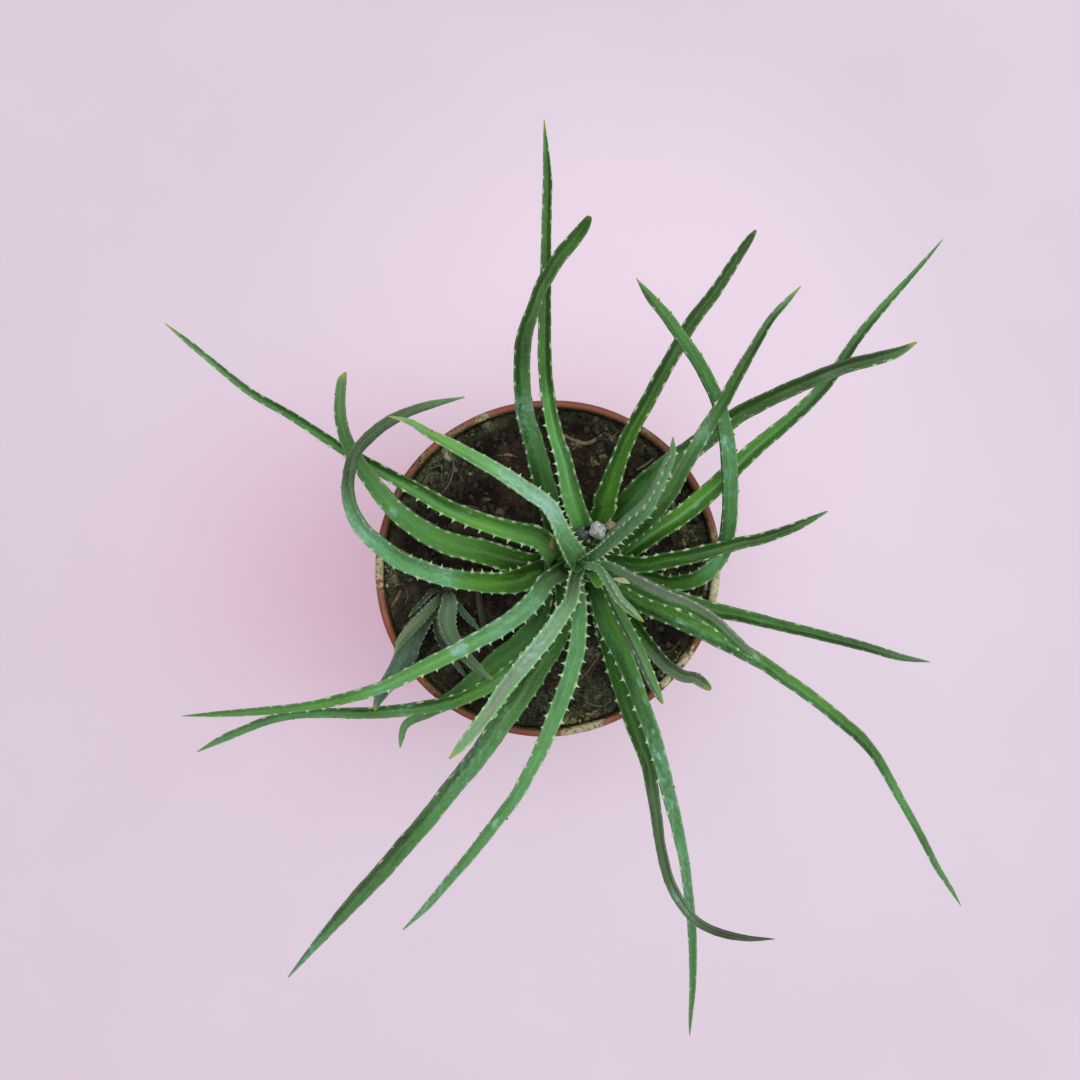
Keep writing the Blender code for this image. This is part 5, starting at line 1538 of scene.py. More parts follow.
def rim_crust(mat):
    """Lime, soil and algae caked on the lip, thickest where it stayed wet."""
    steps = 900
    path = [(57.45, 99.2, 1.0), (57.5, 101.0, 1.0), (57.55, 102.8, .9),
            (57.6, 104.1, .8), (57.9, 104.75, .75), (58.5, 105.0, .8),
            (59.1, 105.0, .8), (59.6, 104.85, .6), (59.95, 104.5, .45),
            (60.1, 104.0, .3), (59.9, 103.4, 0.0)]
    verts, pale, moss = [], [], []
    around = []
    for i in range(steps):
        a = 2 * math.pi * i / steps
        around.append(crust_at(*oval(59.0 * math.cos(a), 59.0 * math.sin(a),
                                     105.0)))
    for i in range(steps):
        a = 2 * math.pi * i / steps
        c, s = math.cos(a), math.sin(a)
        sway = (0.16 * math.sin(3 * a + 0.6) + 0.10 * math.sin(5 * a + 2.0)
                + 0.05 * math.sin(11 * a))
        for j, (r, z, share) in enumerate(path):
            p = Vector((r * c, r * s, z))
            # ragged ends: each ring is read a little further round
            drift = (11.0 * noise.noise(p * 0.62 + Vector((2, 7, 3)))
                     + 6.0 * noise.noise(p * 1.6 + Vector((8, 1, 4))))
            amount, mossy = around[int(i + drift) % steps]
            n1 = noise.noise(p * 0.55) + 0.5 * noise.noise(p * 1.7)
            n2 = noise.noise(p * 3.4 + Vector((9, 2, 5)))
            here = max(amount, 0.42 if j < 3 else 0.0)
            n3 = noise.noise(p * 1.25 + Vector((4, 7, 1)))
            if j >= 4:
                here -= 0.22 * (1 - float(smooth01(amount * 1.3 - 0.2)))
            h = (here * 0.90 + 0.22 * n1 + 0.45 * n3 + 0.34 * n2 - 0.40)
            h *= 0.62 * share
            h = max(-0.35, min(0.55, h))
            t = j / (len(path) - 1)
            ang = lerp(math.pi, 0.15, smooth01(t))
            nr, nz = math.cos(ang), math.sin(ang)
            rr, zz = r + sway + nr * h, z + nz * h
            if j in (0, len(path) - 1):
                rr, zz = r + sway + (0.4 if j == 0 else -0.5), z
            x, y = oval(rr * c, rr * s, zz)
            verts.append((x, y, min(zz, 105.55)))
            pale.append(float(np.clip(amount * 1.25 + 0.35 * n1
                                      - (0.5 if j < 3 else
                                         0.2 if j == 3 else 0), 0, 1)))
            moss.append(float(np.clip(mossy + 0.4 * n1
                                      + (0.4 if j < 3 else 0), 0, 1)))
    m = len(path)
    faces = []
    for i in range(steps):
        k = (i + 1) % steps
        for j in range(m):
            l = (j + 1) % m
            faces.append((i * m + j, i * m + l, k * m + l, k * m + j))
    return mesh_object("rim_crust", verts, faces, mat, True,
                       {"pale": pale, "moss": moss})


# stains on the soil: u, v, reach (px), amount
MOSS = [(430, 466, 26, 1.0), (404, 500, 18, .9), (445, 436, 16, .8),
        (392, 575, 12, .9), (690, 530, 16, .9), (592, 700, 22, .9),
        (556, 704, 24, .9), (570, 676, 20, .8), (655, 440, 20, .8),
        (640, 418, 14, .7), (670, 500, 12, .5), (455, 650, 24, .6),
        (430, 690, 16, .6), (488, 426, 8, .9), (612, 430, 16, .5),
        (635, 700, 16, .6), (520, 690, 16, .6), (700, 600, 12, .5),
        (586, 656, 14, .7), (600, 640, 10, .5), (420, 610, 14, .6)]
RUST = [(512, 498, 14, .8), (520, 478, 8, .7), (478, 505, 10, .4),
        (505, 456, 7, .8), (590, 450, 10, .4), (410, 540, 10, .3),
        (640, 650, 8, .3), (596, 668, 6, .7)]
PALE = [(446, 452, 4.5, .9), (488, 426, 4.2, .8), (394, 578, 4, .7),
        (671, 504, 4, .8), (600, 448, 4, .5), (690, 528, 4, .5),
        (593, 652, 4, .6), (500, 512, 4, .4)]


def rim_grains(mat):
    """Grains of soil and lichen stuck on and just inside the lip."""
    rng = random.Random(19)
    heap = Heap()
    k = (EYE[2] - POT_HEIGHT) / PLAN_REACH
    for u, v, reach, amount, mossy in CRUST:
        cx, cy = plan_xy(u, v, POT_HEIGHT)
        turn = math.atan2(cy, cx)
        for i in range(int(reach * amount * (2.2 if amount > .7 else 1.4))):
            a = turn + rng.gauss(0, 0.55) * reach * k / 59.0
            r = rng.choice((54.8, 55.6, 56.2, 56.8, 57.3, 58.2, 58.8, 59.3))
            r += rng.uniform(-.3, .3)
            z = (105.15 if r > 57.9 else
                 soil_top(r * math.cos(a), r * math.sin(a)) + rng.uniform(0, 1.6))
            size = (rng.uniform(.18, .42) if r > 57.9 else
                    rng.uniform(.3, .8) * (1.0 if amount > .7 else .7))
            if r <= 57.9:
                r = min(r, 56.9 - size * .5)
            x, y = oval(r * math.cos(a), r * math.sin(a), z)
            heap.add(lump((x, y, z), (size * rng.uniform(.9, 1.6), size,
                                      size * (.35 if r > 57.9 else .7)), a + 1.57,
                          i * .41 + u, 1 if size < .5 else 2, .4, 1.7),
                     rng.choice((.1, .25, .4, .6, .8)) * min(1, amount + .1),
                     rng.uniform(.4, 1) if mossy > .4 and amount > .7
                     else rng.uniform(0, .3))
    # lichened lumps on the soil
    for u, v, size, kind in ((446, 452, 2.1, .6), (486, 427, 1.5, .5),
                             (594, 462, 1.5, .35), (603, 457, 1.1, .3),
                             (388, 577, 1.6, .75), (396, 583, 1.2, .5),
                             (598, 654, 1.3, .5), (590, 650, .9, .4),
                             (421, 463, .8, .4), (668, 505, 1.2, .6),
                             (688, 526, 1.3, .3), (697, 539, 1.1, .25),
                             (684, 543, .9, .4), (576, 446, 1.2, .3),
                             (566, 455, 1.0, .25), (612, 438, 1.2, .2)):
        cx, cy = plan_xy(u, v, SOIL_TOP + 1)
        for i in range(int(17 * size)):
            x = cx + rng.gauss(0, size * .62)
            y = cy + rng.gauss(0, size * .48)
            grain = rng.uniform(.2, .42) * (1.3 if i < 3 * size else 1.0)
            if math.hypot(x, y) > 54.2:
                continue
            heap.add(lump((x, y, soil_top(x, y) + grain * .25),
                          (grain * rng.uniform(1.0, 1.7), grain,
                           grain * .8), rng.uniform(0, 3.14), i * .37 + u,
                          2 if grain > .4 else 1, .45, 1.8),
                     kind * rng.uniform(.5, 1.1), rng.uniform(.2, .8))
    return heap.make("rim_grains", mat)


def stain(x, y, spots):
    k = (EYE[2] - SOIL_TOP) / PLAN_REACH
    best = 0.0
    for u, v, reach, a in spots:
        cx, cy = plan_xy(u, v, SOIL_TOP)
        d = math.hypot(x - cx, y - cy) / (reach * k)
        if d < 2.0:
            best = max(best, a * math.exp(-d ** 3))
    return best


def soil_top(x, y):
    """Crumbly height of the soil, just over the part's own surface."""
    p = Vector((x, y, 0.0))
    bent = p + noise.noise_vector(p * 0.45) * 1.7
    d, _ = noise.voronoi(bent * 0.30 + Vector((3, 8, 0)))
    clod = max(0.0, 0.85 - d[0]) * 1.5
    bent = p + noise.noise_vector(p * 1.1) * 0.8
    d2, _ = noise.voronoi(bent * 0.85 + Vector((1, 4, 2)))
    small = max(0.0, 0.8 - d2[0]) * 0.75
    h = (0.9 * noise.noise(p * 0.13) + 0.55 * noise.noise(p * 0.45)
         + 0.3 * noise.noise(p * 1.3) + 0.18 * noise.noise(p * 2.9))
    return soil_height(x, y) + 0.75 + h + clod * 0.8 + small * 0.55


def soil_surface(mat):
    """A disc of crumbly soil: square grid drawn onto the circle."""
    n = 213
    radius = inside_radius(SOIL_TOP + 1.0) - 0.15
    verts, moss, rust, pale = [], [], [], []
    for j in range(n):
        for i in range(n):
            a, b = 2 * i / (n - 1) - 1, 2 * j / (n - 1) - 1
            if a == 0 and b == 0:
                r, t = 0.0, 0.0
            elif abs(a) > abs(b):
                r, t = a, math.pi / 4 * b / a
            else:
                r, t = b, math.pi / 2 - math.pi / 4 * a / b
            x, y = r * math.cos(t) * radius, r * math.sin(t) * radius
            z = soil_top(x, y)
            z += 1.1 * float(smooth01((abs(r) - 0.93) / 0.07)) * (
                0.5 + noise.noise(Vector((x, y, 4)) * 0.2))
            x, y = oval(x, y, z)
            verts.append((x, y, z))
            edge = float(smooth01((abs(r) - 0.90) / 0.1)) * 0.75
            m = stain(x, y, MOSS)
            moss.append(max(m, edge * (0.6 + noise.noise(
                Vector((x, y, 0)) * 0.15))))
            rust.append(stain(x, y, RUST))
            pale.append(stain(x, y, PALE))
    faces = [(j * n + i, j * n + i + 1, (j + 1) * n + i + 1, (j + 1) * n + i)
             for j in range(n - 1) for i in range(n - 1)]
    rim = ([i for i in range(n)] + [j * n + n - 1 for j in range(1, n)]
           + [(n - 1) * n + i for i in range(n - 2, -1, -1)]
           + [j * n for j in range(n - 2, 0, -1)])
    base = len(verts)
    for v in rim:
        x, y, z = verts[v]
        verts.append((x * 0.995, y * 0.995, 92.0))
        moss.append(0.3)
        rust.append(0.0)
        pale.append(0.0)
    count = len(rim)
    for i in range(count):
        k = (i + 1) % count
        faces.append((rim[i], base + i, base + k, rim[k]))
    faces.append(tuple(base + i for i in range(count))[::-1])
    return mesh_object("soil_surface", verts, faces, mat, True,
                       {"moss": moss, "rust": rust, "pale": pale})


ICO = {}


def ico(level):
    if level not in ICO:
        bm = bmesh.new()
        bmesh.ops.create_icosphere(bm, subdivisions=level, radius=1.0)
        ICO[level] = ([v.co.copy() for v in bm.verts],
                      [tuple(v.index for v in f.verts) for f in bm.faces])
        bm.free()
    return ICO[level]


def lump(place, size, turn, seed, level=2, rough=0.25, scale=1.3):
    """Vertices and faces of one irregular grain."""
    pts, faces = ico(level)
    c, s = math.cos(turn), math.sin(turn)
    out = []
    for p in pts:
        q = p * scale + Vector((seed * 7.3, seed * 3.1, seed))
        r = 1 + rough * (noise.noise(q) + 0.5 * noise.noise(q * 2.3)) * 1.6
        x, y, z = p.x * size[0] * r, p.y * size[1] * r, p.z * size[2] * r
        out.append((place[0] + x * c - y * s, place[1] + x * s + y * c,
                    place[2] + z))
    return out, faces


def strand(points, radii, sides=5):
    """Vertices and faces of a thin closed strand through points (mm)."""
    p = np.array(points, float)
    fwd = unit(np.gradient(p, axis=0))
    up = np.array((0.0, 0.0, 1.0))
    a = unit(np.cross(fwd, up) + 1e-6)
    b = np.cross(fwd, a)
    verts, faces = [], []
    for i, r in enumerate(radii):
        for k in range(sides):
            t = 2 * math.pi * k / sides
            verts.append(tuple(p[i] + a[i] * math.cos(t) * r
                               + b[i] * math.sin(t) * r))
    n = len(radii)
    for i in range(n - 1):
        for k in range(sides):
            l = (k + 1) % sides
            faces.append((i * sides + k, i * sides + l,
                          (i + 1) * sides + l, (i + 1) * sides + k))
    faces.append(tuple(range(sides))[::-1])
    faces.append(tuple((n - 1) * sides + k for k in range(sides)))
    return verts, faces


class Heap:
    """Gathers many small bodies into one mesh with a value per vertex."""

    def __init__(self):
        self.verts, self.faces, self.kind, self.vary = [], [], [], []

    def add(self, body, kind, vary=0.0):
        verts, faces = body
        base = len(self.verts)
        self.verts += verts
        self.faces += [tuple(base + i for i in f) for f in faces]
        self.kind += [kind] * len(verts)
        self.vary += [vary] * len(verts)

    def make(self, name, mat):
        return mesh_object(name, self.verts, self.faces, mat, True,
                           {"kind": self.kind, "vary": self.vary})


def soil_crumbs(mat):
    """Crumbs of compost, bark and grit: kind 0 dark ... 1 pale."""
    rng = random.Random(31)
    heap = Heap()
    radius = inside_radius(SOIL_TOP) - 2.2
    for i in range(1250):
        r, a = radius * math.sqrt(rng.random()), rng.uniform(0, 6.2832)
        x, y = r * math.cos(a), r * math.sin(a)
        if math.hypot(x - STEM_FOOT[0], y - STEM_FOOT[1]) < 6.5:
            continue
        size = rng.choice((.3, .35, .4, .45, .5, .55, .65, .8, 1.0))
        size *= rng.uniform(.8, 1.2)
        kind = rng.choice((.0, .0, .05, .1, .1, .15, .2, .25, .3, .4, .55))
        if stain(x, y, PALE) > 0.3 and rng.random() < 0.7:
            kind = rng.uniform(.75, 1)
        z = soil_top(x, y) + size * 0.15
        x, y = oval(x, y, z)
        heap.add(lump((x, y, z), (size * rng.uniform(.8, 2.0), size,
                                  size * rng.uniform(.5, .8)),
                      rng.uniform(0, 3.14), i * .37, 1 if size < .6 else 2,
                      .52, 2.1), kind, rng.random())
    # the larger grains that can be made out one by one
    for u, v, size, kind in ((671, 504, 1.1, .85), (456, 470, .6, .9),
                             (470, 474, .6, .9), (646, 618, .8, .8),
                             (410, 580, .8, .7), (600, 446, 1.2, .55),
                             (604, 700, 1.3, .5),
                             (615, 684, .8, .6), (484, 508, .9, .6),
                             (500, 516, .8, .5), (385, 560, 1.0, .5),
                             (690, 526, 1.1, .6), (686, 470, 1.0, .45),
                             (700, 620, 1.0, .45), (445, 682, 1.0, .5)):
        x, y = plan_xy(u, v, SOIL_TOP + 1)
        k = min(1.0, 53.8 / math.hypot(x, y))
        x, y = x * k, y * k
        heap.add(lump((x, y, soil_top(x, y) + size * .35),
                      (size * 1.1, size * .9, size * .7), u * .1, u * .013,
                      3, .5, 2.0), kind * .85, .6)
    return heap.make("soil_crumbs", mat)


def lying(points, lift, wave, rng, count=14):
    """Points along a plan line, laid on the soil."""
    line = catmull([(u, v, 0.0) for u, v in points], 8)
    out = []
    for i, (u, v, _) in enumerate(line):
        x, y = plan_xy(u, v, SOIL_TOP + 1)
        t = i / (len(line) - 1)
        z = soil_top(x, y) + lift + wave * math.sin(t * 9 + lift * 5)
        out.append((x, y, z))
    # even out the height so that a strand bridges the hollows
    z = np.array([p[2] for p in out])
    for _ in range(3):
        z[1:-1] = np.maximum(z[1:-1], 0.5 * (z[:-2] + z[2:]))
    return [(p[0], p[1], float(h)) for p, h in zip(out, z)]


def soil_fibres(mat):
    """Roots, straws and fibres: kind 0 dark ... 1 pale, vary 1 green."""
    rng = random.Random(57)
    heap = Heap()
    for points, r, kind, vary in (
            (((453, 458), (454, 470), (449, 484), (442, 494)), .30, .55, 1.),
            (((428, 476), (425, 486), (427, 495), (435, 503)), .30, .7, .9),
            (((440, 456), (446, 454), (452, 457), (458, 462)), .30, .45, .9),
            (((438, 462), (442, 469), (441, 480)), .26, .6, 1.),
            (((429, 470), (436, 466), (444, 467)), .26, .5, 1.),
            (((422, 486), (427, 477), (434, 472)), .24, .5, 1.),
            (((496, 456), (503, 455), (510, 456), (518, 457)), .34, .6, .1),
            (((504, 455), (508, 454.5), (513, 456)), .62, .9, .0),
            (((401, 590), (397, 598), (391, 607)), .75, .75, .2),
            (((404, 584), (408, 595), (405, 606)), .35, .6, .4),
            (((600, 655), (594, 663), (588, 671), (579, 680)), .42, .75, .5),
            (((566, 672), (575, 668), (584, 672), (590, 681)), .4, .6, .4),
            (((636, 470), (645, 465), (654, 458)), .55, .8, .1),
            (((650, 474), (655, 463)), .5, .7, .1),
            (((416, 608), (421, 622), (418, 634)), .35, .5, .5),
            (((480, 690), (492, 700), (506, 703)), .35, .5, .6),
            (((548, 690), (556, 700), (552, 712)), .4, .6, .7),
            (((585, 702), (600, 706), (612, 700)), .4, .5, .8),
            (((680, 640), (672, 650), (664, 652)), .4, .6, .3),
            (((700, 585), (694, 600), (688, 612)), .4, .5, .4),
            (((455, 512), (466, 506), (480, 509)), .35, .6, .3),
            (((600, 430), (612, 436), (620, 430)), .35, .6, .4)):
        line = lying(points, .35, .12, rng)
        n = len(line)
        radii = [r * (0.55 + 0.45 * math.sin(math.pi * (i + .6) / (n + .2)))
                 for i in range(n)]
        heap.add(strand(line, radii, 6), kind * .8, vary)
    k = 0
    while k < 230:
        a = rng.uniform(0, 6.2832)
        r = 150 * math.sqrt(rng.random())
        u, v = 541 + r * math.cos(a), 557 + r * math.sin(a)
        x, y = plan_xy(u, v, SOIL_TOP)
        if (math.hypot(x, y) > 50.5
                or math.hypot(x - STEM_FOOT[0], y - STEM_FOOT[1]) < 8):
            continue
        k += 1
        turn, bend = rng.uniform(0, 6.2832), rng.uniform(-.5, .5)
        step = rng.uniform(1.6, 4.6)
        pts = [(u, v)]
        for i in range(3):
            turn += bend
            pts.append((pts[-1][0] + step * math.cos(turn),
                        pts[-1][1] + step * math.sin(turn)))
        if any(math.hypot(*plan_xy(p[0], p[1], SOIL_TOP)) > 53 for p in pts):
            continue
        line = lying(pts, rng.uniform(.15, .7), .15, rng)[::3]
        rad = rng.uniform(.10, .26)
        green = .8 if stain(x, y, MOSS) > .3 else rng.uniform(0, .4)
        heap.add(strand(line, [rad * (1 - .6 * abs(2 * i / len(line) - 1))
                               for i in range(len(line))], 4),
                 rng.choice((.05, .1, .2, .3, .4)), green)
    return heap.make("soil_fibres", mat)


def moss_tufts(mat):
    """Short moss blades and algae crumbs where the soil stays damp."""
    rng = random.Random(83)
    heap = Heap()
    k = (EYE[2] - SOIL_TOP) / PLAN_REACH
    for u, v, reach, amount in MOSS:
        cx, cy = plan_xy(u, v, SOIL_TOP)
        for i in range(int(1.1 * reach * amount * 4.2)):
            r = reach * k * math.sqrt(rng.random()) * 1.05
            a = rng.uniform(0, 6.2832)
            x, y = cx + r * math.cos(a), cy + r * math.sin(a)
            if math.hypot(x, y / POT_SQUEEZE) > 55.0:
                continue
            z = soil_top(x, y)
            kind = rng.choice((.05, .15, .25, .35, .5, .7))
            if rng.random() < .5:
                s = rng.choice((.3, .4, .5, .6, .8))
                heap.add(lump((x, y, z), (s, s * .8, s * .6), a, i * .21, 1,
                              .45), kind, rng.random() ** 2 * .8)
            lean = rng.uniform(0, 6.2832)
            tall = rng.uniform(.6, 1.7)
            far = rng.uniform(.2, .9)
            pts = [(x + far * f * f * math.cos(lean),
                    y + far * f * f * math.sin(lean), z - .1 + tall * f)
                   for f in (0, .5, 1)]
            heap.add(strand(pts, [.17, .13, .03], 3), kind,
                     rng.random() ** 2)
    return heap.make("moss", mat)


# ---------------------------------------------------------------- stems
def scarred_stem(name, centre, radius, low, high, pitch, mat, seed,
                 shade=0.0):
    """A stem with the ring scars and torn sheaths of shed leaves."""
    sides, rings = 36, int((high - low) / 0.32)
    verts, scar, dim = [], [], []
    for j in range(rings + 1):
        z = lerp(low, high, j / rings)
        c = centre(z)
        cap = math.sqrt(max(0.02, 1 - max(0.0, (j - rings + 5) / 5.2) ** 2))
        for i in range(sides):
            a = 2 * math.pi * i / sides
            q = Vector((math.cos(a) * 1.6, math.sin(a) * 1.6, z * .3 + seed))
            slip = 0.9 * noise.noise(q)
            w = ((z + slip) / pitch) % 1.0
            ridge = 0.34 * (w ** 3) + 0.12 * noise.noise(
                Vector((math.cos(a) * 5, math.sin(a) * 5, z * .8)))
            r = (radius(z) + ridge) * cap
            verts.append((c[0] + r * math.cos(a), c[1] + r * math.sin(a), z))
            scar.append(w ** 4)
            # painted shade rising up the stem; shade gives its least amount
            dim.append(max(shade, float(smooth01((z - low - 8.0) / 12.0))))
    faces = []
    for j in range(rings):
        for i in range(sides):
            k = (i + 1) % sides
            faces.append((j * sides + i, j * sides + k,
                          (j + 1) * sides + k, (j + 1) * sides + i))
    faces.append(tuple(range(sides))[::-1])
    faces.append(tuple(rings * sides + i for i in range(sides)))
    return mesh_object(name, verts, faces, mat, True,
                       {"scar": scar, "dim": dim})


def stem_material():
    n = Nodes("m_stem", (0.12, 0.10, 0.05))
    c = n.coord()
    fibre = n.noise(n.scaled(c, (900.0, 900.0, 90.0)), 1.0, 4.0, 0.65)
    patch = n.noise(c, 160.0, 3.0, 0.6)
    colour = n.mix(n.ramp(patch, 0.35, 0.65), srgb(74, 66, 36),
                   srgb(104, 92, 54))
    colour = n.mix(n.ramp(fibre, 0.45, 0.75, 0.0, 0.7), colour,
                   srgb(46, 36, 22))
    colour = n.mix(n.math('MULTIPLY', n.attr("scar"), 0.75), colour,
                   srgb(142, 112, 76))
    # painted shade: the stem darkens upwards where the leaf bases close over it
    colour = n.mix(n.math('MULTIPLY', n.attr("dim"), 0.92), colour,
                   srgb(34, 42, 22))
    n.colour(colour)
    n.rough(n.ramp(fibre, 0.3, 0.7, 0.62, 0.85))
    n.bump(fibre, 0.5, 0.0003)
    return n.mat


def heap_material(name, dark, middle, pale, green, rough=0.9):
    """Small grains and strands; kind runs dark, middle, pale."""
    n = Nodes(name, middle)
    c = n.coord()
    f = n.noise(c, 700.0, 4.0, 0.65)
    g = n.noise(c, 2600.0, 2.0, 0.6)
    kind = n.math('ADD', n.attr("kind"),
                  n.math('MULTIPLY', n.math('SUBTRACT', f, 0.5), 0.5),
                  clamp=True)
    colour = n.mix(n.ramp(kind, 0.0, 0.5), dark, middle)
    colour = n.mix(n.ramp(kind, 0.45, 1.0), colour, pale)
    colour = n.mix(n.ramp(n.attr("vary"), 0.3, 1.0, 0.0, 0.8), colour, green)
    colour = n.mix(n.ramp(g, 0.55, 0.8, 0.0, 0.5), colour,
                   tuple(x * 0.4 for x in dark))
    n.colour(colour)
    n.rough(n.ramp(g, 0.3, 0.7, rough - 0.08, rough))
    n.bsdf.inputs["Specular IOR Level"].default_value = 0.3
    n.bump(f, 0.5, 0.0003)
    return n.mat


def crust_material():
    n = Nodes("m_crust", (0.5, 0.42, 0.3))
    c = n.coord()
    f = n.noise(c, 330.0, 5.0, 0.7)
    g = n.noise(c, 1200.0, 3.0, 0.65)
    big = n.noise(c, 110.0, 3.0, 0.6)
    low = n.mix(n.ramp(f, 0.35, 0.65), srgb(78, 68, 42), srgb(134, 120, 76))
    high = n.mix(n.ramp(f, 0.30, 0.58), srgb(176, 164, 118),
                 srgb(226, 220, 180))
    pale = n.math('ADD', n.attr("pale"),
                  n.math('MULTIPLY', n.math('SUBTRACT', big, 0.5), 0.9),
                  clamp=True)
    colour = n.mix(n.ramp(pale, 0.25, 0.75), low, high)
    green = n.mix(n.ramp(g, 0.35, 0.65), srgb(80, 78, 42), srgb(142, 132, 80))
    moss = n.math('MULTIPLY', n.attr("moss"), n.ramp(f, 0.38, 0.58),
                  clamp=True)
    colour = n.mix(moss, colour, green)
    colour = n.mix(n.ramp(g, 0.66, 0.84, 0.0, 0.4), colour, srgb(84, 70, 44))
    n.colour(colour)
    n.rough(n.ramp(g, 0.3, 0.7, 0.86, 0.98))
    n.bsdf.inputs["Specular IOR Level"].default_value = 0.25
    n.bump(n.math('ADD', f, n.math('MULTIPLY', g, 0.5)), 0.7, 0.0006)
    return n.mat


# ---------------------------------------------------------------- litter
def stone_piece(name, place, size, turn, seed, mat, pits=0.0, level=4):
    """A pebble; pits > 0 gives the open pores of pumice."""
    pts, faces = ico(level)
    c, s = math.cos(turn), math.sin(turn)
    verts, hollow = [], []
    for p in pts:
        r = (1.0 + 0.10 * math.sin(3.1 * p.x + seed)
             + 0.08 * math.sin(4.3 * p.y + 1.7 * seed)
             + 0.07 * math.cos(3.7 * p.z + 2.3 * seed))
        q = p * 2.1 + Vector((seed, seed * 2, 0))
        r += 0.10 * noise.noise(q) + 0.05 * noise.noise(q * 2.7)
        deep = 0.0
        if pits:
            d, _ = noise.voronoi(p * 2.6 + Vector((seed, 1, 4)))
            deep = max(0.0, 0.42 - d[0]) / 0.42
            d, _ = noise.voronoi(p * 6.0 + Vector((seed, 3, 9)))
            deep = max(deep, 0.6 * max(0.0, 0.34 - d[0]) / 0.34)
            r -= pits * deep
        x, y, z = p.x * size[0] * r, p.y * size[1] * r, p.z * size[2] * r
        verts.append((place[0] + x * c - y * s, place[1] + x * s + y * c,
                      place[2] + z))
        hollow.append(deep)
    return mesh_object(name, verts, faces, mat, True, {"hollow": hollow})


def flake_piece(name, place, long, wide, thick, turn, pitch, curl, mat, seed):
    """A dry curled scale, pointed at both ends, thin at its edge."""
    nu, nv = 28, 12
    verts, faces = [], []
    c, s = math.cos(turn), math.sin(turn)
    for face in (1, -1):
        for i in range(nu + 1):
            t = 2 * i / nu - 1
            w = wide * (1 - abs(t) ** 2.2) ** 0.8 * (1 + 0.12 * math.sin(
                5 * t + seed)) + 0.02
            for j in range(nv + 1):
                q = 2 * j / nv - 1
                x = long * t + 0.1 * math.sin(6 * q + seed)
                y = w * q + 0.18 * wide * math.sin(3 * t + seed)
                z = (curl * (q * q - 0.4) * w + 0.35 * curl * long * t * t
                     + 0.10 * noise.noise(Vector((t * 5, q * 3, seed))))
                z += face * thick * 0.5 * (0.12 + 0.88 * (1 - abs(q) ** 3)
                                           * (1 - t ** 4))
                z += x * math.tan(pitch)
                verts.append((place[0] + x * c - y * s,
                              place[1] + x * s + y * c, place[2] + z))
    m = (nu + 1) * (nv + 1)
    for i in range(nu):
        for j in range(nv):
            a = i * (nv + 1) + j
            b, d, e = a + 1, a + nv + 1, a + nv + 2
            faces.append((a, d, e, b))
            faces.append((m + a, m + b, m + e, m + d))
    edge = ([j for j in range(nv + 1)]
            + [i * (nv + 1) + nv for i in range(1, nu + 1)]
            + [nu * (nv + 1) + j for j in range(nv - 1, -1, -1)]
            + [i * (nv + 1) for i in range(nu - 1, 0, -1)])
    for a, b in zip(edge, edge[1:] + edge[:1]):
        faces.append((a, b, m + b, m + a))
    return mesh_object(name, verts, faces, mat, True)


def pumice_material():
    n = Nodes("m_pumice", (0.6, 0.6, 0.58))
    c = n.coord()
    f = n.noise(c, 800.0, 4.0, 0.7)
    g = n.noise(c, 2400.0, 3.0, 0.6)
    colour = n.mix(n.ramp(f, 0.35, 0.62), srgb(146, 154, 148),
                   srgb(230, 236, 228))
    colour = n.mix(n.ramp(g, 0.52, 0.74, 0.0, 0.5), colour,
                   srgb(96, 108, 104))
    colour = n.mix(n.ramp(n.attr("hollow"), 0.15, 0.7, 0.0, 0.9), colour,
                   srgb(52, 56, 52))
    n.colour(colour)
    n.bsdf.inputs["Roughness"].default_value = 0.92
    n.bump(n.math('ADD', f, g), 0.7, 0.0005)
    return n.mat


def grit_at_heart(mat):
    """Dark grains caught beside the pale stone."""
    rng = random.Random(5)
    heap = Heap()
    for i in range(26):
        u, v = rng.uniform(582, 593), rng.uniform(528, 546)
        size = rng.uniform(.4, .85)
        p = from_plan(u, v, 134.6 - .35 * abs(u - 587))
        heap.add(lump(tuple(p), (size, size * .9, size * .7), i, i * .31, 2,
                      .3), rng.choice((0, .1, .15, .3, .75)), rng.random() * .4)
    for i in range(12):
        u, v = rng.uniform(604, 614), rng.uniform(521, 530)
        size = rng.uniform(.35, .7)
        p = from_plan(u, v, 134.8)
        heap.add(lump(tuple(p), (size, size * .9, size * .7), i, i * .17, 2,
                      .3), rng.choice((.1, .3, .75, .9)), rng.random() * .3)
    return heap.make("heart_grit", mat)


def twig_piece(mat):
    """A bent twig with a broken end and two knots."""
    points = []
    for u, v in ((561, 433), (569, 438.5), (581, 443), (589, 443),
                 (597, 438.5), (602, 434)):
        p = from_plan(u, v, SOIL_TOP)
        p.z = max(soil_height(p.x, p.y) + 1.25, soil_top(p.x, p.y) + 0.3)
        points.append(tuple(p))
    line = catmull(points, 9)
    n = len(line)
    radii = []
    for i in range(n):
        t = i / (n - 1)
        r = 0.32 + 0.40 * math.sin(math.pi * min(1, t * 1.02)) ** 0.7
        r += 0.22 * math.exp(-((t - 0.38) / 0.03) ** 2)
        r += 0.18 * math.exp(-((t - 0.72) / 0.03) ** 2)
        r += 0.05 * math.sin(t * 60)
        radii.append(r)
    verts, faces = strand(line, radii, 12)
    return mesh_object("twig_bark", verts, faces, mat, True)


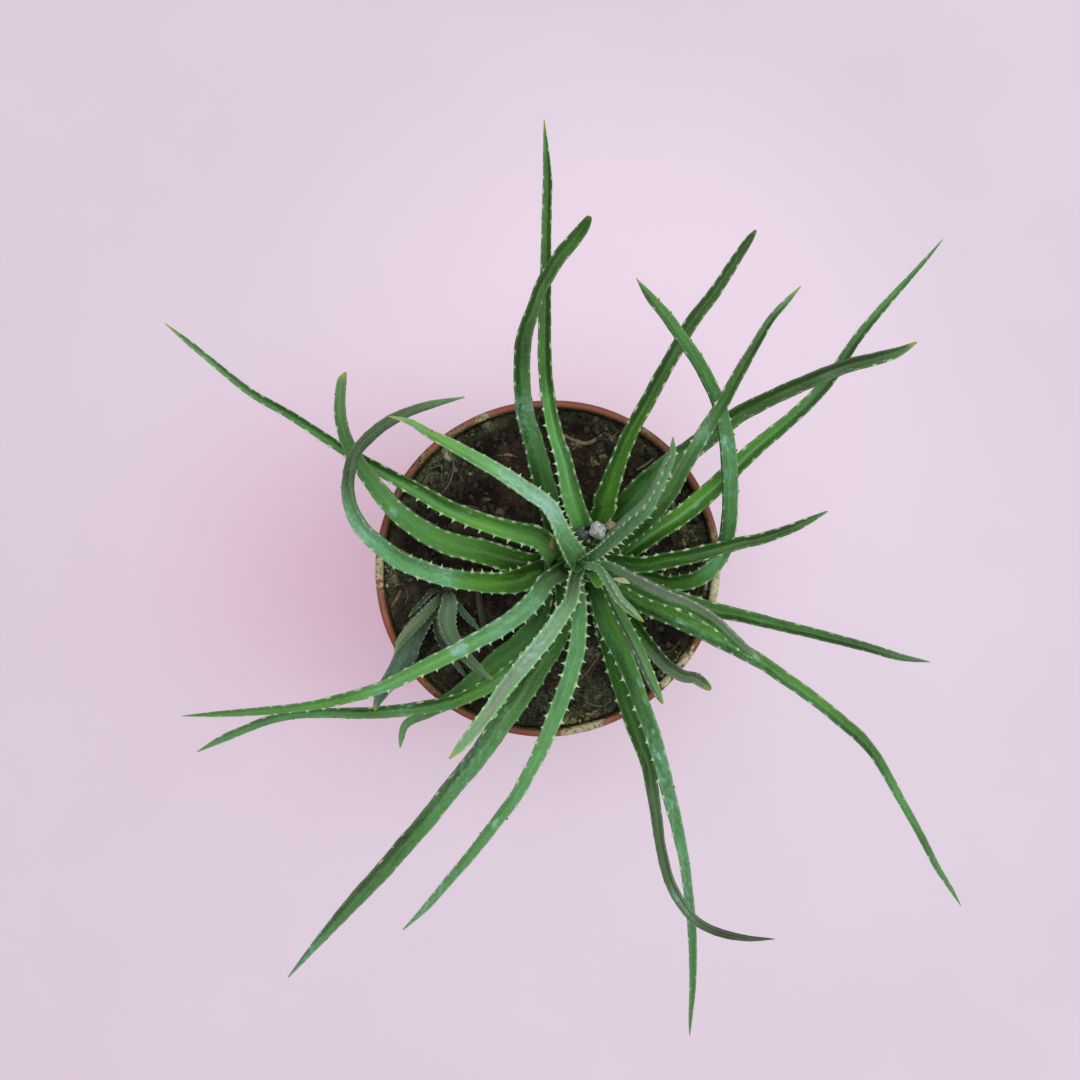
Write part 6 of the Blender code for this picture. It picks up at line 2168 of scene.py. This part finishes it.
# the unopened leaves at the heart, laid out like the others
BUD = {
    "a": ((135, 139, 142, 144), (0, 0), [
        (583, 560, 11), (585, 557, 9), (586, 555, 6), (587, 553, 1.5)]),
    "b": ((135, 139, 142, 144), (0, 0), [
        (578, 566, 11), (577, 569, 9), (576, 571, 6), (576, 573, 1.5)]),
}
BUD_LOOK = dict(tone_and_shade=.1, yellow=.5, teeth=(2.0, 2.2), tooth=.3,
                rise=(40, 40), dash=(.3, .3), sleeve=3.0, join=1.0, tip=.1,
                hold=5.0, clasp=2.0, first=2.0, shade=8.0)


# ---------------------------------------------------------------- stage
def make_stage():
    scene = bpy.context.scene
    n = Nodes("m_floor", (0.78, 0.65, 0.76))
    c = n.coord()
    soft = n.noise(c, 9.0, 3.0, 0.6)
    weave = n.noise(n.scaled(c, (1.0, 1.0, 1.0)), 900.0, 2.0, 0.6)
    colour = n.mix(n.ramp(soft, 0.3, 0.7), FLOOR_A, FLOOR_B)
    # painted light and shade on the floor: a broad pool of painted light round
    # the pot, a brighter painted pool at one side, and a pinker painted shadow at
    # the other
    for x, y, low, high, painted_tint in ((0.0, 0.0, 0.06, 0.26, FLOOR_PAINTED_POOL),
                                  (0.035, 0.075, 0.02, 0.16, FLOOR_PAINTED_LIGHT),
                                  (-0.085, 0.0, 0.01, 0.10, FLOOR_PAINTED_SHADOW)):
        shift = n.new("ShaderNodeVectorMath", operation='SUBTRACT')
        n.link(c, shift.inputs[0])
        shift.inputs[1].default_value = (x, y, 0.0)
        near = n.new("ShaderNodeVectorMath", operation='LENGTH')
        n.link(shift.outputs["Vector"], near.inputs[0])
        painted_mask = n.ramp(near.outputs["Value"], low, high, 1.0, 0.0)
        colour = n.mix(painted_mask, colour, painted_tint)
    n.colour(colour)
    n.bsdf.inputs["Roughness"].default_value = 0.9
    n.bsdf.inputs["Specular IOR Level"].default_value = 0.2
    # painted light: the floor glows a little of its own, lifting the shadows on
    # it and turning them pink
    n.bsdf.inputs["Emission Color"].default_value = (0.93, 0.60, 0.74, 1.0)
    n.bsdf.inputs["Emission Strength"].default_value = 0.40
    n.bump(weave, 0.12, 0.0002)
    bm = bmesh.new()
    bmesh.ops.create_grid(bm, x_segments=2, y_segments=2, size=4.0)
    mesh = bpy.data.meshes.new("floor")
    bm.to_mesh(mesh)
    bm.free()
    mesh.materials.append(n.mat)
    floor = bpy.data.objects.new("floor", mesh)
    floor.location = (0, 0, -0.0002)
    scene.collection.objects.link(floor)

    world = bpy.data.worlds.new("studio")
    scene.world = world
    world.use_nodes = True
    bg = world.node_tree.nodes["Background"]
    bg.inputs["Color"].default_value = (0.90, 0.87, 0.90, 1.0)
    bg.inputs["Strength"].default_value = WORLD_LIGHT

    def area(name, place, size, power, colour, target=(0, 0, 0.08)):
        data = bpy.data.lights.new(name, 'AREA')
        data.shape = 'DISK'
        data.size = size
        data.energy = power
        data.color = colour
        lamp = bpy.data.objects.new(name, data)
        lamp.location = place
        back = Vector(place) - Vector(target)
        lamp.rotation_mode = 'QUATERNION'
        lamp.rotation_quaternion = back.to_track_quat('Z', 'Y')
        scene.collection.objects.link(lamp)
        return lamp

    area("key", (1.15, 0.20, 1.20), 1.1, KEY_POWER, (0.80, 1.0, 0.94))
    area("top", (0.10, 0.10, 1.75), 1.5, TOP_POWER, (1.0, 0.965, 0.98))

    cam = bpy.data.cameras.new("camera")
    cam.sensor_width = 36.0
    cam.lens = 36.0 * PLAN_REACH / 1080.0
    cam.clip_start, cam.clip_end = 0.01, 20.0
    view = bpy.data.objects.new("camera", cam)
    view.location = (EYE[0] * MM, EYE[1] * MM, EYE[2] * MM)
    scene.collection.objects.link(view)
    scene.camera = view
    scene.view_settings.view_transform = 'Standard'
    scene.view_settings.look = 'None'
    scene.view_settings.exposure = 0.0


FLOOR_A = (0.405, 0.425, 0.490)
FLOOR_B = (0.430, 0.455, 0.515)
# painted light and painted shadow for the floor round the pot
FLOOR_PAINTED_POOL = (0.475, 0.490, 0.560)
FLOOR_PAINTED_LIGHT = (0.560, 0.540, 0.630)
FLOOR_PAINTED_SHADOW = (0.470, 0.385, 0.480)
WORLD_LIGHT = 0.30
KEY_POWER = 6.0
TOP_POWER = 18.0


# ---------------------------------------------------------------- build
make_stage()
skin = {
    "leaf": leaf_material("m_leaf", srgb(30, 70, 8), srgb(108, 170, 106),
                          (srgb(42, 88, 0), srgb(106, 174, 36)),
                          (srgb(54, 64, 44), srgb(118, 130, 106)),
                          srgb(150, 200, 182)),
    "young_leaf": leaf_material("m_young_leaf", srgb(38, 82, 28),
                                srgb(132, 190, 138),
                                (srgb(58, 112, 8), srgb(124, 188, 56)),
                                (srgb(74, 84, 66), srgb(144, 152, 134)),
                                srgb(172, 214, 200), 0.04),
    "pup_leaf": leaf_material("m_pup_leaf", srgb(32, 54, 38),
                              srgb(112, 148, 122),
                              (srgb(58, 88, 14), srgb(118, 152, 66)),
                              (srgb(66, 64, 52), srgb(142, 142, 124)),
                              srgb(142, 178, 168), 0.1),
}
YOUNG = {"leaf_04", "leaf_12", "leaf_16", "leaf_19", "leaf_24", "leaf_heart"}
for i, (name, spec) in enumerate(LEAVES.items()):
    look = LOOK.get(name, {})
    slot = "young_leaf" if name in YOUNG else "leaf"
    obj = leaf_piece("skin_" + name, spec,
                     root_on_stem(spec, look.get("tuck", 0.0)), 0.90,
                     stem_axis, skin[slot], look, 11 + i)
    piece(obj, slot, name)
for i, (name, spec) in enumerate(PUP_LEAVES.items()):
    look = LOOK.get(name, {})
    obj = leaf_piece("skin_" + name, spec,
                     root_on_pup(spec, look.get("tuck", 0.0)), 0.85,
                     lambda z: (PUP_CENTRE[0], PUP_CENTRE[1], z),
                     skin["pup_leaf"], look, 71 + i)
    piece(obj, "pup_leaf", name)
for i, (name, spec) in enumerate(BUD.items()):
    obj = leaf_piece("bud_" + name, spec, root_on_stem(spec, 2.4), 0.9,
                     stem_axis, skin["young_leaf"], BUD_LOOK, 91 + i)
    piece(obj, "young_leaf")

m_dry = leaf_material("m_dry_leaf", srgb(52, 50, 36), srgb(96, 94, 72),
                      (srgb(62, 58, 34), srgb(102, 98, 58)),
                      (srgb(52, 46, 40), srgb(84, 78, 66)),
                      srgb(118, 114, 98), 0.3)
u, v, w = DRY_LEAF[2][0]
obj = leaf_piece("skin_dry_leaf", DRY_LEAF, from_plan(u, v - 6, 99.4), 0.8,
                 stem_axis, m_dry,
                 dict(tone_and_shade=.35, yellow=.2, purple=.3, teeth=(90, 90),
                      first=60, sleeve=0.6, clasp=0.1, deep=.5, cup=.3,
                      twist=16, join=0.5, tip=0, burn=0, edge=.2, hold=3),
                 63)
piece(obj, "dry_leaf", "dry_leaf")

m_stem = stem_material()
piece(scarred_stem("stem_bark", stem_axis,
                   lambda z: stem_radius(z) * lerp(1.0, 0.7, (z - 96) / 40),
                   SOIL_TOP - 1.0, STEM_TOP - 6.0, 2.3, m_stem, 2.0),
      "stem", "stem")
piece(scarred_stem("pup_bark", lambda z: (PUP_CENTRE[0], PUP_CENTRE[1]),
                   lambda z: PUP_RADIUS * lerp(1.0, 0.8, (z - 96) / 6),
                   SOIL_TOP - 1.0, 101.6, 1.7, m_stem, 5.0, 0.8),
      "stem", "pup_stem")

m_soil = soil_material()
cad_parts["soil"].data.materials.clear()
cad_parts["soil"].data.materials.append(m_soil)
piece(soil_surface(m_soil), "soil")
m_crumb = heap_material("m_crumb", srgb(22, 18, 14), srgb(66, 55, 41),
                        srgb(170, 164, 140), srgb(74, 68, 50))
m_fibre = heap_material("m_fibre", srgb(40, 32, 24), srgb(96, 82, 60),
                        srgb(174, 156, 116), srgb(112, 118, 92))
m_moss = heap_material("m_moss", srgb(42, 48, 36), srgb(82, 90, 68),
                       srgb(138, 144, 118), srgb(110, 108, 64))
m_lichen = heap_material("m_lichen", srgb(76, 74, 48), srgb(134, 132, 94),
                         srgb(208, 206, 172), srgb(138, 136, 82))
piece(soil_crumbs(m_crumb), "soil")
piece(soil_fibres(m_fibre), "soil")
piece(moss_tufts(m_moss), "soil")
piece(rim_grains(m_lichen), "soil")
piece(grit_at_heart(m_crumb), "soil")

piece(pot_piece(pot_material()), "pot", "pot")
piece(rim_crust(crust_material()), "soil")

piece(stone_piece("pumice_rock", from_plan(597.5, 530.5, 136.0),
                  (3.0, 3.2, 2.8), 0.4, 1.0, pumice_material(), 0.22),
      "pumice", "pumice_stone")
m_grey = flat_material("m_grey_pebble", srgb(62, 68, 68), srgb(110, 118, 114),
                       1500.0, 0.8, dark=srgb(34, 34, 34))
m_sand = flat_material("m_sand_pebble", srgb(146, 132, 104),
                       srgb(180, 166, 136), 900.0, 0.85,
                       dark=srgb(92, 76, 56))
piece(stone_piece("grey_stone", from_plan(582.5, 534.0, 134.0),
                  (1.5, 1.9, 1.5), 0.9, 2.6, m_grey, 0.0, 3),
      "pebble", "grey_pebble")
piece(stone_piece("sand_stone", from_plan(612.0, 526.0, 134.0),
                  (1.6, 1.9, 1.4), -0.5, 4.1, m_sand, 0.05, 3),
      "pebble", "sand_pebble")
m_bark = flat_material("m_bark_scrap", srgb(176, 170, 128),
                       srgb(206, 202, 162), 500.0, 0.8,
                       dark=srgb(132, 124, 84))
m_bract = flat_material("m_bract_scrap", srgb(96, 80, 46),
                        srgb(142, 116, 64), 500.0, 0.7,
                        dark=srgb(68, 60, 42))
piece(flake_piece("bark_flake", from_plan(621.5, 580.5, 144.1), 2.9, 0.80,
                  0.45, -0.30, 0.05, 0.25, m_bark, 1.0),
      "dry_leaf", "bark_scrap")
piece(flake_piece("bract_flake", from_plan(551.5, 545.0, 132.8), 2.0, 0.75,
                  0.4, 1.65, 0.0, 0.45, m_bract, 2.0),
      "dry_leaf", "bract_scrap")
m_twig = flat_material("m_twig", srgb(116, 100, 68), srgb(158, 142, 102),
                       600.0, 0.85, dark=srgb(66, 56, 40))
piece(twig_piece(m_twig), "twig", "twig")
